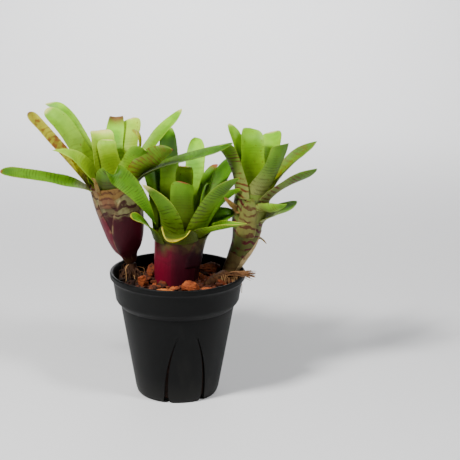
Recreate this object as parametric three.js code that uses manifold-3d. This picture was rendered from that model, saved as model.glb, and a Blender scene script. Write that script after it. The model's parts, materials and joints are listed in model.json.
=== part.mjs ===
// Potted neoregelia hybrid: three rosettes on sheath tubes, in coarse bark, in a round slit pot.
// Millimetres, +Z up, origin at the centre of the pot's foot, +X to the right, +Y to the back.
import * as THREE from 'three';
import { mergeVertices } from 'three/addons/utils/BufferGeometryUtils.js';
import Module from 'manifold-3d';

const wasm = await Module();
wasm.setup();

// Driving dimensions of the pot
const POT_HEIGHT = 85.6;
const RIM_RADIUS = 46;
const FOOT_RADIUS = 27.6;
const WALL = 1.3;
const FLOOR = 1.8;
const POT_SIDES = 32;
const COLLAR_TOP = 79.6;
const COLLAR_LOW = 67;
const SHOULDER = 62.4;

// Drainage slits: three arched panels, each with a slit on both sides
const SLIT_PANELS = 3;
const SLIT_PANEL_AZIMUTH = 13;
const SLIT_SPREAD = 26;
const SLIT_ARCH_HEIGHT = 64;
const SLIT_TOP = 47;
const SLIT_FOOT_WIDTH = 3;
const SLIT_TOP_WIDTH = 0.5;
const SLIT_INNER_RADIUS = 24;
const SLIT_CORNER = 5;
const SLIT_STEPS = 5;

// Bark bed and the loose chunks on it
const BED_TOP = 77.5;
const BED_SIDES = 20;
const BED_CLEARANCE = 0.4;
const CHIP_COUNT = 26;
const CHIP_REACH = 34;
const CHUNK_PLANES = 7;
const GOLDEN_ANGLE = Math.PI * (3 - Math.sqrt(5));

// Leaf blades and sheath tubes
const LEAF_THICKNESS = 0.8;
const LEAF_ROWS = 6;
const LEAF_COLUMNS = 4;
const TIP_HALF_WIDTH = 0.6;
const ROOT_SPREAD = 1.5;
const TUBE_SIDES = 20;
const CROWN_CUP = [[0.86, 0.4], [0.6, -3.5], [0.34, -8], [0, -9]];

// Root wires and woody stubs
const WIRE_SIDES = 4;
const WIRE_STEPS = 4;
const STUB_SIDES = 8;

// Clearance between pieces that touch on the real plant
const SEAT_GAP = 0.3;

// How far a simplified surface may move, and the two finishes
const FINE = 0.03;
const COARSE = 0.2;
const SATIN = 0.45;
const ROUGH_BARK = 0.95;

const DEGREE = Math.PI / 180;
const TO_FRONT = new THREE.Vector3(0, -1, 0);

const COLOURS = {
  pot: 0x25282a,
  bark: 0x5a2f1a,
  orange: 0xb5622f,
  tan: 0xc08a58,
  crimson: 0x7a1130,
  maroon: 0x4a1526,
  banded: 0x6f7452,
  root: 0x8a6038,
  green: 0x7fae2b,
  pale: 0x9cc956,
  deep: 0x4f8c22,
  yellow: 0xb3a832,
  dried: 0x9a7b35,
};

// Value helpers
const clamp01 = (value) => Math.min(1, Math.max(0, value));
const mix = (a, b, share) => a + (b - a) * share;
const smooth = (low, high, value) => {
  const share = clamp01((value - low) / (high - low));
  return share * share * (3 - 2 * share);
};
const vector = (point) => new THREE.Vector3(...point);
const along = (start, direction, distance) => start.clone().addScaledVector(direction, distance);

// A repeatable source of random numbers from 0 to 1
function seededRandom(seed) {
  let state = seed;
  return () => {
    state = (state * 1664525 + 1013904223) % 4294967296;
    return state / 4294967296;
  };
}

// Turns a closed three.js geometry into a manifold solid with its faces outward
function solidOf(geometry) {
  const bare = geometry.clone();
  bare.deleteAttribute('normal');
  bare.deleteAttribute('uv');
  const merged = mergeVertices(bare, 1e-4);
  const corners = merged.index.array;
  const place = merged.attributes.position;
  const triangles = [];
  let volume = 0;
  for (let k = 0; k < corners.length; k += 3) {
    const [a, b, c] = corners.slice(k, k + 3);
    if (a === b || b === c || c === a) continue;
    triangles.push([a, b, c]);
    const [p, q, r] = [a, b, c].map((v) => new THREE.Vector3().fromBufferAttribute(place, v));
    volume += p.dot(q.cross(r)) / 6;
  }
  const outward = volume > 0 ? triangles : triangles.map(([a, b, c]) => [a, c, b]);
  return new wasm.Manifold(new wasm.Mesh({
    numProp: 3,
    vertProperties: new Float32Array(place.array),
    triVerts: new Uint32Array(outward.flat()),
  }));
}

// Turns a manifold solid back into a three.js geometry
function geometryOf(solid) {
  const mesh = solid.getMesh();
  const geometry = new THREE.BufferGeometry();
  geometry.setAttribute('position', new THREE.BufferAttribute(new Float32Array(mesh.vertProperties), 3));
  geometry.setIndex(new THREE.BufferAttribute(new Uint32Array(mesh.triVerts), 1));
  geometry.computeVertexNormals();
  return geometry;
}

// Keeps the main body where a cut leaves scraps, and drops points closer to flat than the tolerance
function mainBody(solid, tolerance) {
  const bodies = solid.decompose().sort((a, b) => b.volume() - a.volume());
  return bodies[0].simplify(tolerance);
}

const carve = (solid, cutters) => cutters.reduce((rest, cutter) => rest.subtract(cutter), solid);

// A lathe about +Z, from points of radius and height
function lathe(profile, sides) {
  const geometry = new THREE.LatheGeometry(profile.map(([r, z]) => new THREE.Vector2(r, z)), sides);
  return geometry.rotateX(Math.PI / 2);
}

// Moves every vertex of a geometry to where the given function puts it
function reshape(geometry, place) {
  const positions = geometry.attributes.position;
  const point = new THREE.Vector3();
  for (let k = 0; k < positions.count; k += 1) {
    point.fromBufferAttribute(positions, k);
    point.copy(place(point));
    positions.setXYZ(k, point.x, point.y, point.z);
  }
  return geometry;
}

// A round tube that follows a curve: a lathe of radius and distance, bent along the curve
function bentTube(curve, profile, sides, margin = 0) {
  const length = curve.getLength();
  const fat = profile.map(([r, h]) => [r > 0 ? r + margin : 0, h]);
  return reshape(lathe(fat, sides), (point) => {
    const share = clamp01(point.z / length);
    const centre = curve.getPointAt(share);
    const axis = curve.getTangentAt(share);
    const front = TO_FRONT.clone().addScaledVector(axis, -TO_FRONT.dot(axis)).normalize();
    const right = new THREE.Vector3().crossVectors(axis, front);
    const beyond = point.z - share * length;
    return along(along(along(centre, right, point.x), front, -point.y), axis, beyond);
  });
}

// The pot: a lathe of the wall, less the slits
function potProfile() {
  const inside = (r) => r - WALL;
  return [
    [0, 0], [FOOT_RADIUS - 1.9, 0], [FOOT_RADIUS, 1], [FOOT_RADIUS + 1, 4], [38.5, SHOULDER],
    [40.3, SHOULDER + 2.2], [42, COLLAR_LOW], [43.9, COLLAR_TOP], [45.4, COLLAR_TOP + 1.9],
    [RIM_RADIUS, POT_HEIGHT - 2.2], [RIM_RADIUS, POT_HEIGHT - 0.7], [RIM_RADIUS - 0.7, POT_HEIGHT],
    [RIM_RADIUS - 1.8, POT_HEIGHT], [inside(44.4), POT_HEIGHT - 2], [inside(43.9), COLLAR_TOP],
    [inside(42), COLLAR_LOW], [inside(40.3), SHOULDER + 2.2], [inside(38.5), SHOULDER],
    [inside(FOOT_RADIUS + 1.1), 4.6], [inside(FOOT_RADIUS - 1.2), FLOOR], [0, FLOOR],
  ];
}

function slitCutter(panel, side) {
  const box = new THREE.BoxGeometry(1, 1, 1, 1, 1, SLIT_STEPS);
  const centre = SLIT_PANEL_AZIMUTH + (panel * 360) / SLIT_PANELS;
  return solidOf(reshape(box, (point) => {
    const height = mix(-1, SLIT_TOP, point.z + 0.5);
    const azimuth = centre + side * SLIT_SPREAD * (1 - (height / SLIT_ARCH_HEIGHT) ** 2);
    const corner = SLIT_FOOT_WIDTH * clamp01(1 - height / SLIT_CORNER) ** 2;
    const width = mix(SLIT_FOOT_WIDTH, SLIT_TOP_WIDTH, clamp01(height / SLIT_TOP)) + corner;
    const radius = mix(SLIT_INNER_RADIUS, RIM_RADIUS, point.y + 0.5);
    const turned = TO_FRONT.clone().applyAxisAngle(new THREE.Vector3(0, 0, 1), azimuth * DEGREE);
    const sideways = new THREE.Vector3(-turned.y, turned.x, 0);
    return turned.multiplyScalar(radius).addScaledVector(sideways, point.x * width).setZ(height);
  }));
}

function potSolid() {
  const cutters = [];
  for (let panel = 0; panel < SLIT_PANELS; panel += 1) {
    cutters.push(slitCutter(panel, -1), slitCutter(panel, 1));
  }
  return carve(solidOf(lathe(potProfile(), POT_SIDES)), cutters);
}

// The bark bed: the pot's inside, with an uneven top of half-sunk chips
const bedRise = (x, y) => 1.3 * Math.sin(0.31 * x + 1.3) * Math.cos(0.27 * y)
  + 0.8 * Math.sin(0.53 * x - 0.41 * y);

// A chip: a block with its corners moved at random and turned about its middle
function chipSolid(centre, halves, random) {
  const draw = () => mix(0.7, 1.1, random());
  const corners = Array.from({ length: 8 }, () => [draw(), draw(), draw()]);
  const block = reshape(new THREE.BoxGeometry(2, 2, 2), ({ x, y, z }) => {
    const shift = corners[(x > 0 ? 1 : 0) + (y > 0 ? 2 : 0) + (z > 0 ? 4 : 0)];
    return vector([x * shift[0] * halves[0], y * shift[1] * halves[1], z * shift[2] * halves[2]]);
  });
  block.rotateX(mix(-0.5, 0.5, random())).rotateY(mix(-0.5, 0.5, random())).rotateZ(Math.PI * random());
  return solidOf(block.translate(...centre));
}

function bedSolid() {
  const random = seededRandom(3);
  const inner = WALL + BED_CLEARANCE;
  const profile = [
    [0, FLOOR + SEAT_GAP], [FOOT_RADIUS - 1.8 - inner, FLOOR + SEAT_GAP], [FOOT_RADIUS + 0.6 - inner, 4.8],
    [38.5 - inner, SHOULDER + 0.3], [40.3 - inner, SHOULDER + 2.5], [42 - inner, COLLAR_LOW + 0.3],
    [43 - inner, BED_TOP - 3], [42 - inner, BED_TOP], [29, BED_TOP], [15, BED_TOP], [0, BED_TOP],
  ];
  const heap = reshape(lathe(profile, BED_SIDES), (point) => {
    const raised = point.z > BED_TOP - 1 ? bedRise(point.x, point.y) : 0;
    return point.clone().setZ(point.z + raised);
  });
  const parts = [solidOf(heap)];
  for (let k = 0; k < CHIP_COUNT; k += 1) {
    const reach = CHIP_REACH * Math.sqrt((k + 0.5) / CHIP_COUNT);
    const [x, y] = [reach * Math.cos(k * GOLDEN_ANGLE), reach * Math.sin(k * GOLDEN_ANGLE)];
    const halves = [mix(3.6, 5.6, random()), mix(2.6, 3.8, random()), mix(1.7, 2.6, random())];
    parts.push(chipSolid([x, y, BED_TOP + bedRise(x, y) + 0.5], halves, random));
  }
  return wasm.Manifold.union(parts);
}

// Large bark chunks: name, centre, half sizes, turn about X, Y and Z, and colour
const CHUNKS = [
  ['front_large', [9, -24, 81], [7.5, 5, 4.6], [10, 18, 20], 'orange'],
  ['front_tan', [-7, -33.5, 80.5], [7, 3.6, 3], [-6, 4, 4], 'tan'],
  ['front_right', [22, -30, 80.4], [5.6, 4, 3.2], [-8, 10, -24], 'orange'],
  ['left_orange', [-23, -12, 81], [3.6, 4.6, 5.2], [14, -16, 24], 'orange'],
  ['left_small', [-31, -23, 79.5], [3.6, 3.4, 2.8], [0, 20, 60], 'bark'],
  ['beside_tube', [-18.5, 3, 83], [2.8, 5, 6.4], [-6, 8, 10], 'bark'],
  ['back_right', [21, 22, 80.5], [8.5, 5.5, 4.4], [8, -6, -12], 'bark'],
  ['back', [-4, 31, 80], [6.5, 5, 3.6], [6, 8, 40], 'orange'],
];

// A chunk: a ball clamped by a few planes into a block with blunt edges
function chunkSolid([, centre, halves, turn], seed, margin = 0) {
  const random = seededRandom(seed);
  const planes = Array.from({ length: CHUNK_PLANES }, () => ({
    normal: new THREE.Vector3(random() - 0.5, random() - 0.5, random() - 0.5).normalize(),
    reach: mix(0.68, 0.86, random()),
  }));
  const ball = reshape(new THREE.IcosahedronGeometry(1, 1), (point) => {
    const place = point.clone();
    for (const { normal, reach } of planes) {
      const beyond = place.dot(normal) - reach;
      if (beyond > 0) place.addScaledVector(normal, -beyond);
    }
    return place;
  });
  ball.scale(...halves.map((half) => half + margin));
  ball.rotateX(turn[0] * DEGREE).rotateY(turn[1] * DEGREE).rotateZ(turn[2] * DEGREE);
  return solidOf(ball.translate(...centre));
}

// Sheath tubes: radius against distance up the axis, with a shallow cup at the crown
const TUBES = {
  left: {
    name: 'left_sheath_vase',
    axis: [[-32, 6, 89.5], [-34.5, 5.5, 100], [-36.9, 5, 116], [-40.4, 4, 134], [-42.6, 3.4, 145]],
    radii: [
      [3.6, 0], [4.6, 2], [5.8, 6], [8.8, 11], [11.6, 18], [13.4, 26], [14.8, 35], [15.8, 44], [16.2, 60],
    ],
    colour: 'maroon',
    flare: 12,
  },
  centre: {
    name: 'centre_sheath_tube',
    axis: [[-1, 0, 66], [-0.8, 0, 80], [0, 0, 98], [1.6, 0, 113]],
    radii: [[11.5, 0], [13.4, 8], [14.6, 18], [15.4, 32], [16.2, 41], [17, 46]],
    colour: 'crimson',
    flare: 14,
  },
  right: {
    name: 'right_sheath_stem',
    axis: [[31.5, 10, 70], [35, 10, 82], [40.3, 10, 93.3], [44.8, 10, 104], [47.8, 10, 122], [50.6, 9, 140]],
    radii: [[3.5, 0], [4.2, 9], [5, 16], [6.2, 24], [7.9, 35], [9.9, 50], [10.8, 62], [11, 80]],
    colour: 'banded',
    flare: 4,
  },
};

function tubeCurve({ axis }) {
  return new THREE.CatmullRomCurve3(axis.map(vector));
}

function tubeSolid(tube, margin = 0) {
  const curve = tubeCurve(tube);
  const [crownRadius, listed] = tube.radii.at(-1);
  const top = Math.min(listed, curve.getLength());
  const wall = tube.radii.slice(0, -1);
  const cup = CROWN_CUP.map(([share, rise]) => {
    const radius = Math.max(0, share * crownRadius - 2 * margin);
    return [radius, top + rise + margin];
  });
  const profile = [[0, -margin], ...wall, [crownRadius, top], ...cup];
  return solidOf(bentTube(curve, profile, TUBE_SIDES, margin));
}

// Leaves: name, azimuth from the front, ring radius and height of the root at the crown, width,
// the points that the midrib passes at its middle and ends at, and what differs from a plain blade
const LEAVES = {
  left: [
    ['low_long', -77, 16.9, -1, 9, [-85, -8, 150], [-116, -14, 156],
      { point: 0.2, taper: 0.85, twist: -34, settle: 0.7, lift: 0.1 }],
    ['yellow', -97, 16.9, -1, 7.6, [-77.5, 6, 166.5], [-100, 10, 191],
      { point: 0, taper: 0.9, twist: -45, settle: 0.6, colour: 'yellow' }],
    ['short_forward', -50, 12, -3, 16, [-66, -10, 160], [-81, -16, 171],
      { point: 1, taper: 0.3, twist: -35, settle: 0.5, lift: 0.3 }],
    ['front_arching', 2, 14.5, -1, 16, [-33, -18, 154], [-12, -14, 123],
      { point: 0.7, twist: -12, lift: 0.9 }],
    ['long_reach', 84, 16.9, -1, 12, [2, -5, 163], [36, -4, 175], { twist: 20, colour: 'deep' }],
    ['broad_behind', -127, 16.9, -1, 11.5, [-72.5, 33, 177], [-94, 56, 189],
      { point: 0.1, taper: 0.8, lift: 0.15, colour: 'pale' }],
    ['dried_stub', -36, 17.2, -2, 3, [-54, -13, 149], [-56, -15, 152.5], { colour: 'dried' }],
    ['back_low', 172, 16.9, -2, 14, [-48, 42, 159], [-52, 64, 165], { colour: 'deep' }],
    ['back_curled', -172, 14.5, -3, 13, [-45, 32, 168], [-44, 46, 182],
      { point: 0, taper: 0.85, curl: 0.5, colour: 'pale' }],
    ['back_round', 156, 14.5, -3, 18, [-35, 31, 168], [-33, 44, 182], { taper: 0.7, colour: 'pale' }],
    ['broad_upper', -108, 14, -3, 13.5, [-71.5, 14, 172.5], [-90.5, 24, 190.5],
      { point: 0.1, taper: 0.75, twist: -36, settle: 0.5 }],
    ['right_raised', 116, 14.5, -3, 13.5, [-16, 20, 171], [1, 36, 190],
      { point: 0.6, twist: 20, colour: 'pale' }],
    ['right_banded', 63, 14, -3, 14, [-17, -8, 165], [-3, -14, 172],
      { point: 0.8, taper: 0.45, twist: -75, settle: 0.5 }],
    ['front_lime', 45, 11.2, -4, 15, [-29, -6, 162], [-21, -10, 171],
      { point: 0.3, taper: 0.6, twist: -50, settle: 0.5 }],
    ['cup', -150, 11, -5, 17, [-51, 12, 166], [-53, 18, 178], { point: 0, taper: 0.75, colour: 'pale' }],
    ['narrow', 112, 10.5, -5, 7, [-25, 4, 170], [-31, 6, 181], { twist: -40, colour: 'yellow' }],
    ['heart', 170, 8, -7, 14, [-46, 9, 162], [-47, 11, 173], { point: 0, taper: 0.75 }],
  ],
  centre: [
    ['scoop', -5, 17.7, -4, 19, [0, -27, 117], [1, -36, 114], { point: 0, taper: 0.6, lift: 0.6, cup: 1 }],
    ['horn', -56, 17.7, -6, 10, [-20, -17, 122], [-30, -24, 129.5], { point: 0.2, taper: 0.8, twist: -30 }],
    ['right_low', 72, 17.7, -1, 14, [25, -12, 118.5], [46, -14, 123],
      { point: 0.6, twist: 22, settle: 0.6, lift: 0.1 }],
    ['right_behind', 106, 17.7, -5, 14, [25, 4, 122], [39, 8, 125], { point: 0.8, colour: 'deep' }],
    ['back_left', -134, 17.7, -4, 17, [-15, 20, 141], [-21, 30, 153.5], { colour: 'deep' }],
    ['back_low', 176, 17.7, -3, 14, [0, 38, 132], [0, 60, 134], { colour: 'deep' }],
    ['front_left', -28, 14.6, -4, 14.5, [-6, -21, 131], [-22, -28, 152],
      { point: 1, taper: 0.3, twist: 30, curl: 0.8 }],
    ['right_raised', 46, 14.6, -4, 13, [23, -20, 138.5], [41, -27, 157],
      { point: 0.8, taper: 0.4, twist: -42 }],
    ['back_right', 136, 15.4, -4, 15, [27, 26, 140.5], [37, 44, 156], { colour: 'deep' }],
    ['right_light', 88, 14.6, -4, 15, [28, 0, 131], [41.5, -2, 143.5],
      { point: 0.6, twist: -40, colour: 'pale' }],
    ['back_tall', -160, 14.4, -4, 14, [-8, 28, 157], [-6, 44, 175], { point: 0.6, colour: 'deep' }],
    ['back_middle', 162, 13.6, -4, 14, [11, 27, 152], [10, 42, 169], { point: 0.5, colour: 'pale' }],
    ['red_tip', 120, 12, -5, 13, [19, 10, 142], [26, 16, 156], { point: 0.6 }],
    ['upright_front', 6, 11, -5, 16, [3, -10, 135], [4, -8, 149], { point: 0, taper: 0.75 }],
    ['inner_small', 92, 10, -5, 8, [17, 0, 138], [21, 3, 145], {}],
    ['heart', 178, 8, -7, 12, [4, 5, 144], [4, 8, 156], { taper: 0.7 }],
  ],
  right: [
    ['low', 100, 11.3, -17, 17, [66, 7, 122], [80, 13, 132], { point: 0.8, cup: 0.9, lift: 0.2 }],
    ['low_front', 38, 11.4, -13, 11, [60, -6, 130.5], [72.5, -12, 136],
      { point: 0.9, twist: 30, settle: 0.6, colour: 'pale' }],
    ['left_banded', -62, 11.6, -5, 14, [36, 2, 160], [28, -4, 173], { point: 0.1, taper: 0.8, twist: 35 }],
    ['banded', 70, 11.6, -5, 14, [75, 0, 147], [92, -6, 159], { point: 0.8, twist: -40, colour: 'deep' }],
    ['back_low', 166, 11.4, -9, 12, [54, 33, 147], [57, 54, 151], { colour: 'deep' }],
    ['spotted', 104, 10.6, -3, 14, [76, 14, 159], [93, 20, 172], { point: 0.9, twist: 15 }],
    ['rolled', 48, 9.8, -3, 19, [65.5, -3, 159], [70.5, -7, 175.5], { point: 0, taper: 0.8, cup: 0.9 }],
    ['left_raised', -108, 10, -3, 13, [40, 15, 165.5], [33.5, 25, 182.5], { point: 0.5, twist: -40 }],
    ['back_pale', 146, 9.6, -3, 14, [62, 27, 161.5], [63, 41, 174], { point: 0, taper: 0.8, colour: 'pale' }],
    ['broad_middle', -160, 8.4, -4, 17, [49, 14, 165], [48, 22, 180], { point: 0, taper: 0.7 }],
    ['dried_curl', -54, 11.2, -14, 3.6, [37, -1, 131], [31, -4, 138], { lift: 0.1, colour: 'dried' }],
    ['dried_spike', 84, 9.2, -33, 2.4, [57, 8, 106], [60, 8, 103], { lift: 0.1, colour: 'dried' }],
  ],
};

// The crown's frame: its middle, its axis, and the level direction at an azimuth from the front
function crownOf(tube) {
  const curve = tubeCurve(tube);
  const centre = curve.getPointAt(1);
  const axis = curve.getTangentAt(1);
  const front = TO_FRONT.clone().addScaledVector(axis, -TO_FRONT.dot(axis)).normalize();
  const right = new THREE.Vector3().crossVectors(axis, front);
  const outward = (azimuth) => front.clone().multiplyScalar(Math.cos(azimuth * DEGREE))
    .addScaledVector(right, Math.sin(azimuth * DEGREE));
  return { centre, axis, outward, flare: tube.flare * DEGREE };
}

// The midrib: it passes the middle point and ends at the tip. A lift of 1 leaves the root along
// the sheath, and a lift of 0 leaves it straight along the leaf's own bow
function midrib(root, direction, middle, tip, lift) {
  const bowed = middle.clone().multiplyScalar(4).sub(tip).divideScalar(3);
  const sheathed = along(root, direction, root.distanceTo(bowed));
  const rise = bowed.lerp(sheathed, lift);
  const bend = middle.clone().multiplyScalar(8).sub(root).addScaledVector(rise, -3).sub(tip).divideScalar(3);
  return new THREE.CubicBezierCurve3(root, rise, bend, tip);
}

function leafShape(crown, [, azimuth, ring, height, width, middle, tip, extra]) {
  const { point = 0.3, taper = 0.55, cup = 0.55, curl = 0, twist = 0, settle = 1, lift = 0.35 } = extra;
  const outward = crown.outward(azimuth);
  const root = along(along(crown.centre, crown.axis, height), outward, ring);
  const direction = crown.axis.clone().multiplyScalar(Math.cos(crown.flare))
    .addScaledVector(outward, Math.sin(crown.flare));
  const curve = midrib(root, direction, vector(middle), vector(tip), lift);
  const across = new THREE.Vector3().crossVectors(crown.axis, outward);
  const halfWidth = (t) => {
    const tapered = clamp01((t - taper) / (1 - taper));
    const round = Math.sqrt(Math.max(0, 1 - tapered ** 2.4));
    const acute = 1 - tapered ** 1.6;
    const blade = (width / 2) * mix(ROOT_SPREAD, 1, smooth(0, 0.5, t));
    return Math.max(TIP_HALF_WIDTH, blade * mix(round, acute, point));
  };
  const curvature = (t) => mix(1 / ring, cup / (width / 2), smooth(0, 0.6, t))
    + (curl / (width / 2)) * smooth(0.6, 1, t);
  return { curve, across, halfWidth, curvature, twist: twist * DEGREE, settle };
}

// A point of the blade, and the direction its upper face looks, at a share of its length and width
function bladeAt({ curve, across, halfWidth, curvature, twist, settle }, t, s, margin) {
  const forward = curve.getTangent(t);
  const side = across.clone().addScaledVector(forward, -across.dot(forward)).normalize();
  side.applyAxisAngle(forward, twist * smooth(0, settle, t));
  const upper = new THREE.Vector3().crossVectors(forward, side);
  const bend = curvature(t);
  const angle = bend * (halfWidth(t) + margin) * s;
  const place = curve.getPoint(t).addScaledVector(side, Math.sin(angle) / bend)
    .addScaledVector(upper, (1 - Math.cos(angle)) / bend);
  if (t === 0) place.addScaledVector(forward, -margin);
  if (t === 1) place.addScaledVector(forward, margin);
  const facing = upper.multiplyScalar(Math.cos(angle)).addScaledVector(side, -Math.sin(angle));
  return { place, facing };
}

// Rows lie closer together towards the tip, where the outline turns
const rowShare = (row) => mix(row / LEAF_ROWS, Math.sin((Math.PI / 2) * (row / LEAF_ROWS)), 0.5);

// A closed blade of even thickness, split into triangles alike on both faces
function leafSolid(shape, margin = 0) {
  const positions = [];
  const triangles = [];
  const half = LEAF_THICKNESS / 2 + margin;
  const perRow = LEAF_COLUMNS + 1;
  for (let row = 0; row <= LEAF_ROWS; row += 1) {
    for (let column = 0; column <= LEAF_COLUMNS; column += 1) {
      const across = (2 * column) / LEAF_COLUMNS - 1;
      const { place, facing } = bladeAt(shape, rowShare(row), across, margin);
      positions.push(...along(place, facing, half).toArray(), ...along(place, facing, -half).toArray());
    }
  }
  const upper = (row, column) => 2 * (row * perRow + column);
  const lower = (row, column) => upper(row, column) + 1;
  const quad = (a, b, c, d) => triangles.push(a, b, c, a, c, d);
  for (let row = 0; row < LEAF_ROWS; row += 1) {
    for (let column = 0; column < LEAF_COLUMNS; column += 1) {
      quad(upper(row, column), upper(row + 1, column), upper(row + 1, column + 1), upper(row, column + 1));
      triangles.push(lower(row, column), lower(row + 1, column + 1), lower(row + 1, column));
      triangles.push(lower(row, column), lower(row, column + 1), lower(row + 1, column + 1));
    }
    const last = LEAF_COLUMNS;
    quad(lower(row, 0), lower(row + 1, 0), upper(row + 1, 0), upper(row, 0));
    quad(upper(row, last), upper(row + 1, last), lower(row + 1, last), lower(row, last));
  }
  for (let column = 0; column < LEAF_COLUMNS; column += 1) {
    const end = LEAF_ROWS;
    quad(lower(0, column), upper(0, column), upper(0, column + 1), lower(0, column + 1));
    quad(upper(end, column), lower(end, column), lower(end, column + 1), upper(end, column + 1));
  }
  const geometry = new THREE.BufferGeometry();
  geometry.setAttribute('position', new THREE.Float32BufferAttribute(positions, 3));
  geometry.setIndex(triangles);
  return solidOf(geometry);
}

// Roots: wires that leave a woody stub and dive into the bark, fused with it
const LEFT_ROOTS = {
  foot: [-31.5, 5, 76],
  head: [-32, 6, 89],
  stub: [[3.2, 0], [3.9, 7], [3.4, 12.6], [0, 12.8]],
  wires: 8,
  reach: [5.5, 9],
  leave: [82, 87],
  radii: [0.8, 0.55],
};

const RIGHT_ROOTS = {
  rhizome: [[36, 11, 76], [32, 5, 80.5], [25, -3, 80.4], [18, -9, 78]],
  girth: [[4.2, 0], [4.3, 9], [3.2, 19], [1.6, 27], [0, 28]],
  diving: { wires: 4, from: [28, 36], radii: [0.7, 0.5] },
  tuft: { wires: 6, root: [33, 4, 81], end: [48.5, 52.5], radii: [0.9, 0.45] },
};

const BURIED = 73;

function rootWire(points, [thick, thin], margin) {
  const curve = new THREE.CatmullRomCurve3(points.map(vector));
  const length = curve.getLength();
  const profile = [[0, -margin]];
  for (let step = 0; step <= WIRE_STEPS; step += 1) {
    const share = step / WIRE_STEPS;
    profile.push([mix(thick, thin, share), mix(-margin, length + margin, share)]);
  }
  profile.push([0, length + margin]);
  return solidOf(bentTube(curve, profile, WIRE_SIDES, margin));
}

function stubSolid(points, girth, margin) {
  const curve = new THREE.CatmullRomCurve3(points.map(vector));
  const profile = girth.map(([radius, distance]) => [radius, distance + (radius > 0 ? 0 : margin)]);
  return solidOf(bentTube(curve, [[0, -margin], ...profile], STUB_SIDES, margin));
}

function leftRootsSolid(margin = 0) {
  const random = seededRandom(11);
  const { foot, head, stub, wires, reach, leave, radii } = LEFT_ROOTS;
  const parts = [stubSolid([foot, head], stub, margin)];
  for (let k = 0; k < wires; k += 1) {
    const angle = ((k + 0.6 * random()) / wires) * 2 * Math.PI;
    const out = mix(...reach, random());
    const top = mix(...leave, random());
    const at = (distance, height) => [
      head[0] + distance * Math.cos(angle), head[1] + distance * Math.sin(angle), height,
    ];
    const points = [at(2, top), at(0.7 * out, top - 1.5), at(out, 80), at(out + 0.6, BURIED)];
    parts.push(rootWire(points, radii, margin));
  }
  return wasm.Manifold.union(parts);
}

function rightRootsSolid(margin = 0) {
  const random = seededRandom(5);
  const { rhizome, girth, diving, tuft } = RIGHT_ROOTS;
  const parts = [stubSolid(rhizome, girth, margin)];
  for (let k = 0; k < diving.wires; k += 1) {
    const x = mix(...diving.from, k / (diving.wires - 1));
    const bend = [x + 1, -3 - 2 * random(), 81.5];
    const fall = [x + 1.5, -7 - 2 * random(), 79];
    parts.push(rootWire([[x, 4, 80], bend, fall, [x + 1.5, -9, BURIED]], diving.radii, margin));
  }
  for (let k = 0; k < tuft.wires; k += 1) {
    const spread = k / (tuft.wires - 1) - 0.5;
    const start = [tuft.root[0] + 3 * spread, tuft.root[1], tuft.root[2] + 0.4 * random()];
    const rise = [37.5, -7 + 3 * spread, 86];
    const over = [42, -13 + 5 * spread, 87.6 + random()];
    const end = [mix(...tuft.end, random()), -18 + 8 * spread, mix(87.6, 91, random())];
    parts.push(rootWire([start, rise, over, end], tuft.radii, margin));
  }
  return wasm.Manifold.union(parts);
}

// Assembly
const plant = new THREE.Group();

function addPiece(name, solid, colour, roughness, tolerance = FINE) {
  const material = new THREE.MeshStandardMaterial({ color: COLOURS[colour], roughness, metalness: 0 });
  const mesh = new THREE.Mesh(geometryOf(mainBody(solid, tolerance)), material);
  mesh.name = name;
  plant.add(mesh);
}

const tubes = Object.values(TUBES);
const tubeCutters = tubes.map((tube) => tubeSolid(tube, SEAT_GAP));
const roots = [
  { name: 'left_roots', solid: leftRootsSolid, colour: 'root' },
  { name: 'right_roots', solid: rightRootsSolid, colour: 'root' },
];
const rootCutters = roots.map(({ solid }) => solid(SEAT_GAP));
const chunkCutters = CHUNKS.map((chunk, k) => chunkSolid(chunk, k + 1, SEAT_GAP));

addPiece('pot', potSolid(), 'pot', SATIN);
const bed = carve(bedSolid(), [...tubeCutters, ...rootCutters, ...chunkCutters]);
addPiece('bark_bed', bed, 'bark', ROUGH_BARK, COARSE);
CHUNKS.forEach((chunk, k) => {
  const [name, , , , colour] = chunk;
  const solid = carve(chunkSolid(chunk, k + 1), [...tubeCutters, ...rootCutters]);
  addPiece(`bark_chunk_${name}`, solid, colour, ROUGH_BARK);
});
roots.forEach(({ name, solid, colour }) => addPiece(name, carve(solid(), tubeCutters), colour, ROUGH_BARK));
tubes.forEach((tube) => addPiece(tube.name, tubeSolid(tube), tube.colour, SATIN));

const leafCutters = [...tubeCutters];
for (const [side, rows] of Object.entries(LEAVES)) {
  const crown = crownOf(TUBES[side]);
  for (const row of rows) {
    const shape = leafShape(crown, row);
    const name = `${side}_leaf_${row[0]}`;
    addPiece(name, carve(leafSolid(shape), leafCutters), row[7].colour ?? 'green', SATIN);
    leafCutters.push(leafSolid(shape, SEAT_GAP));
  }
}

export default plant;
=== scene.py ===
"""Potted neoregelia hybrid: the finished pieces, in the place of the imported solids.

A clump of three bromeliad rosettes stands on sheath tubes in coarse orchid bark, in a round
slit pot. Every piece is built in millimetres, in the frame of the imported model, and is scaled
to metres as its mesh is finished.
"""
from __future__ import annotations

import json
import logging
import math
import random
from bisect import bisect_left
from dataclasses import dataclass, field, replace
from enum import Enum
from functools import partial
from typing import Any, Callable, Dict, Iterable, List, Sequence, Tuple, Union

import bmesh
import bpy
from mathutils import Matrix, Quaternion, Vector, noise

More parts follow.
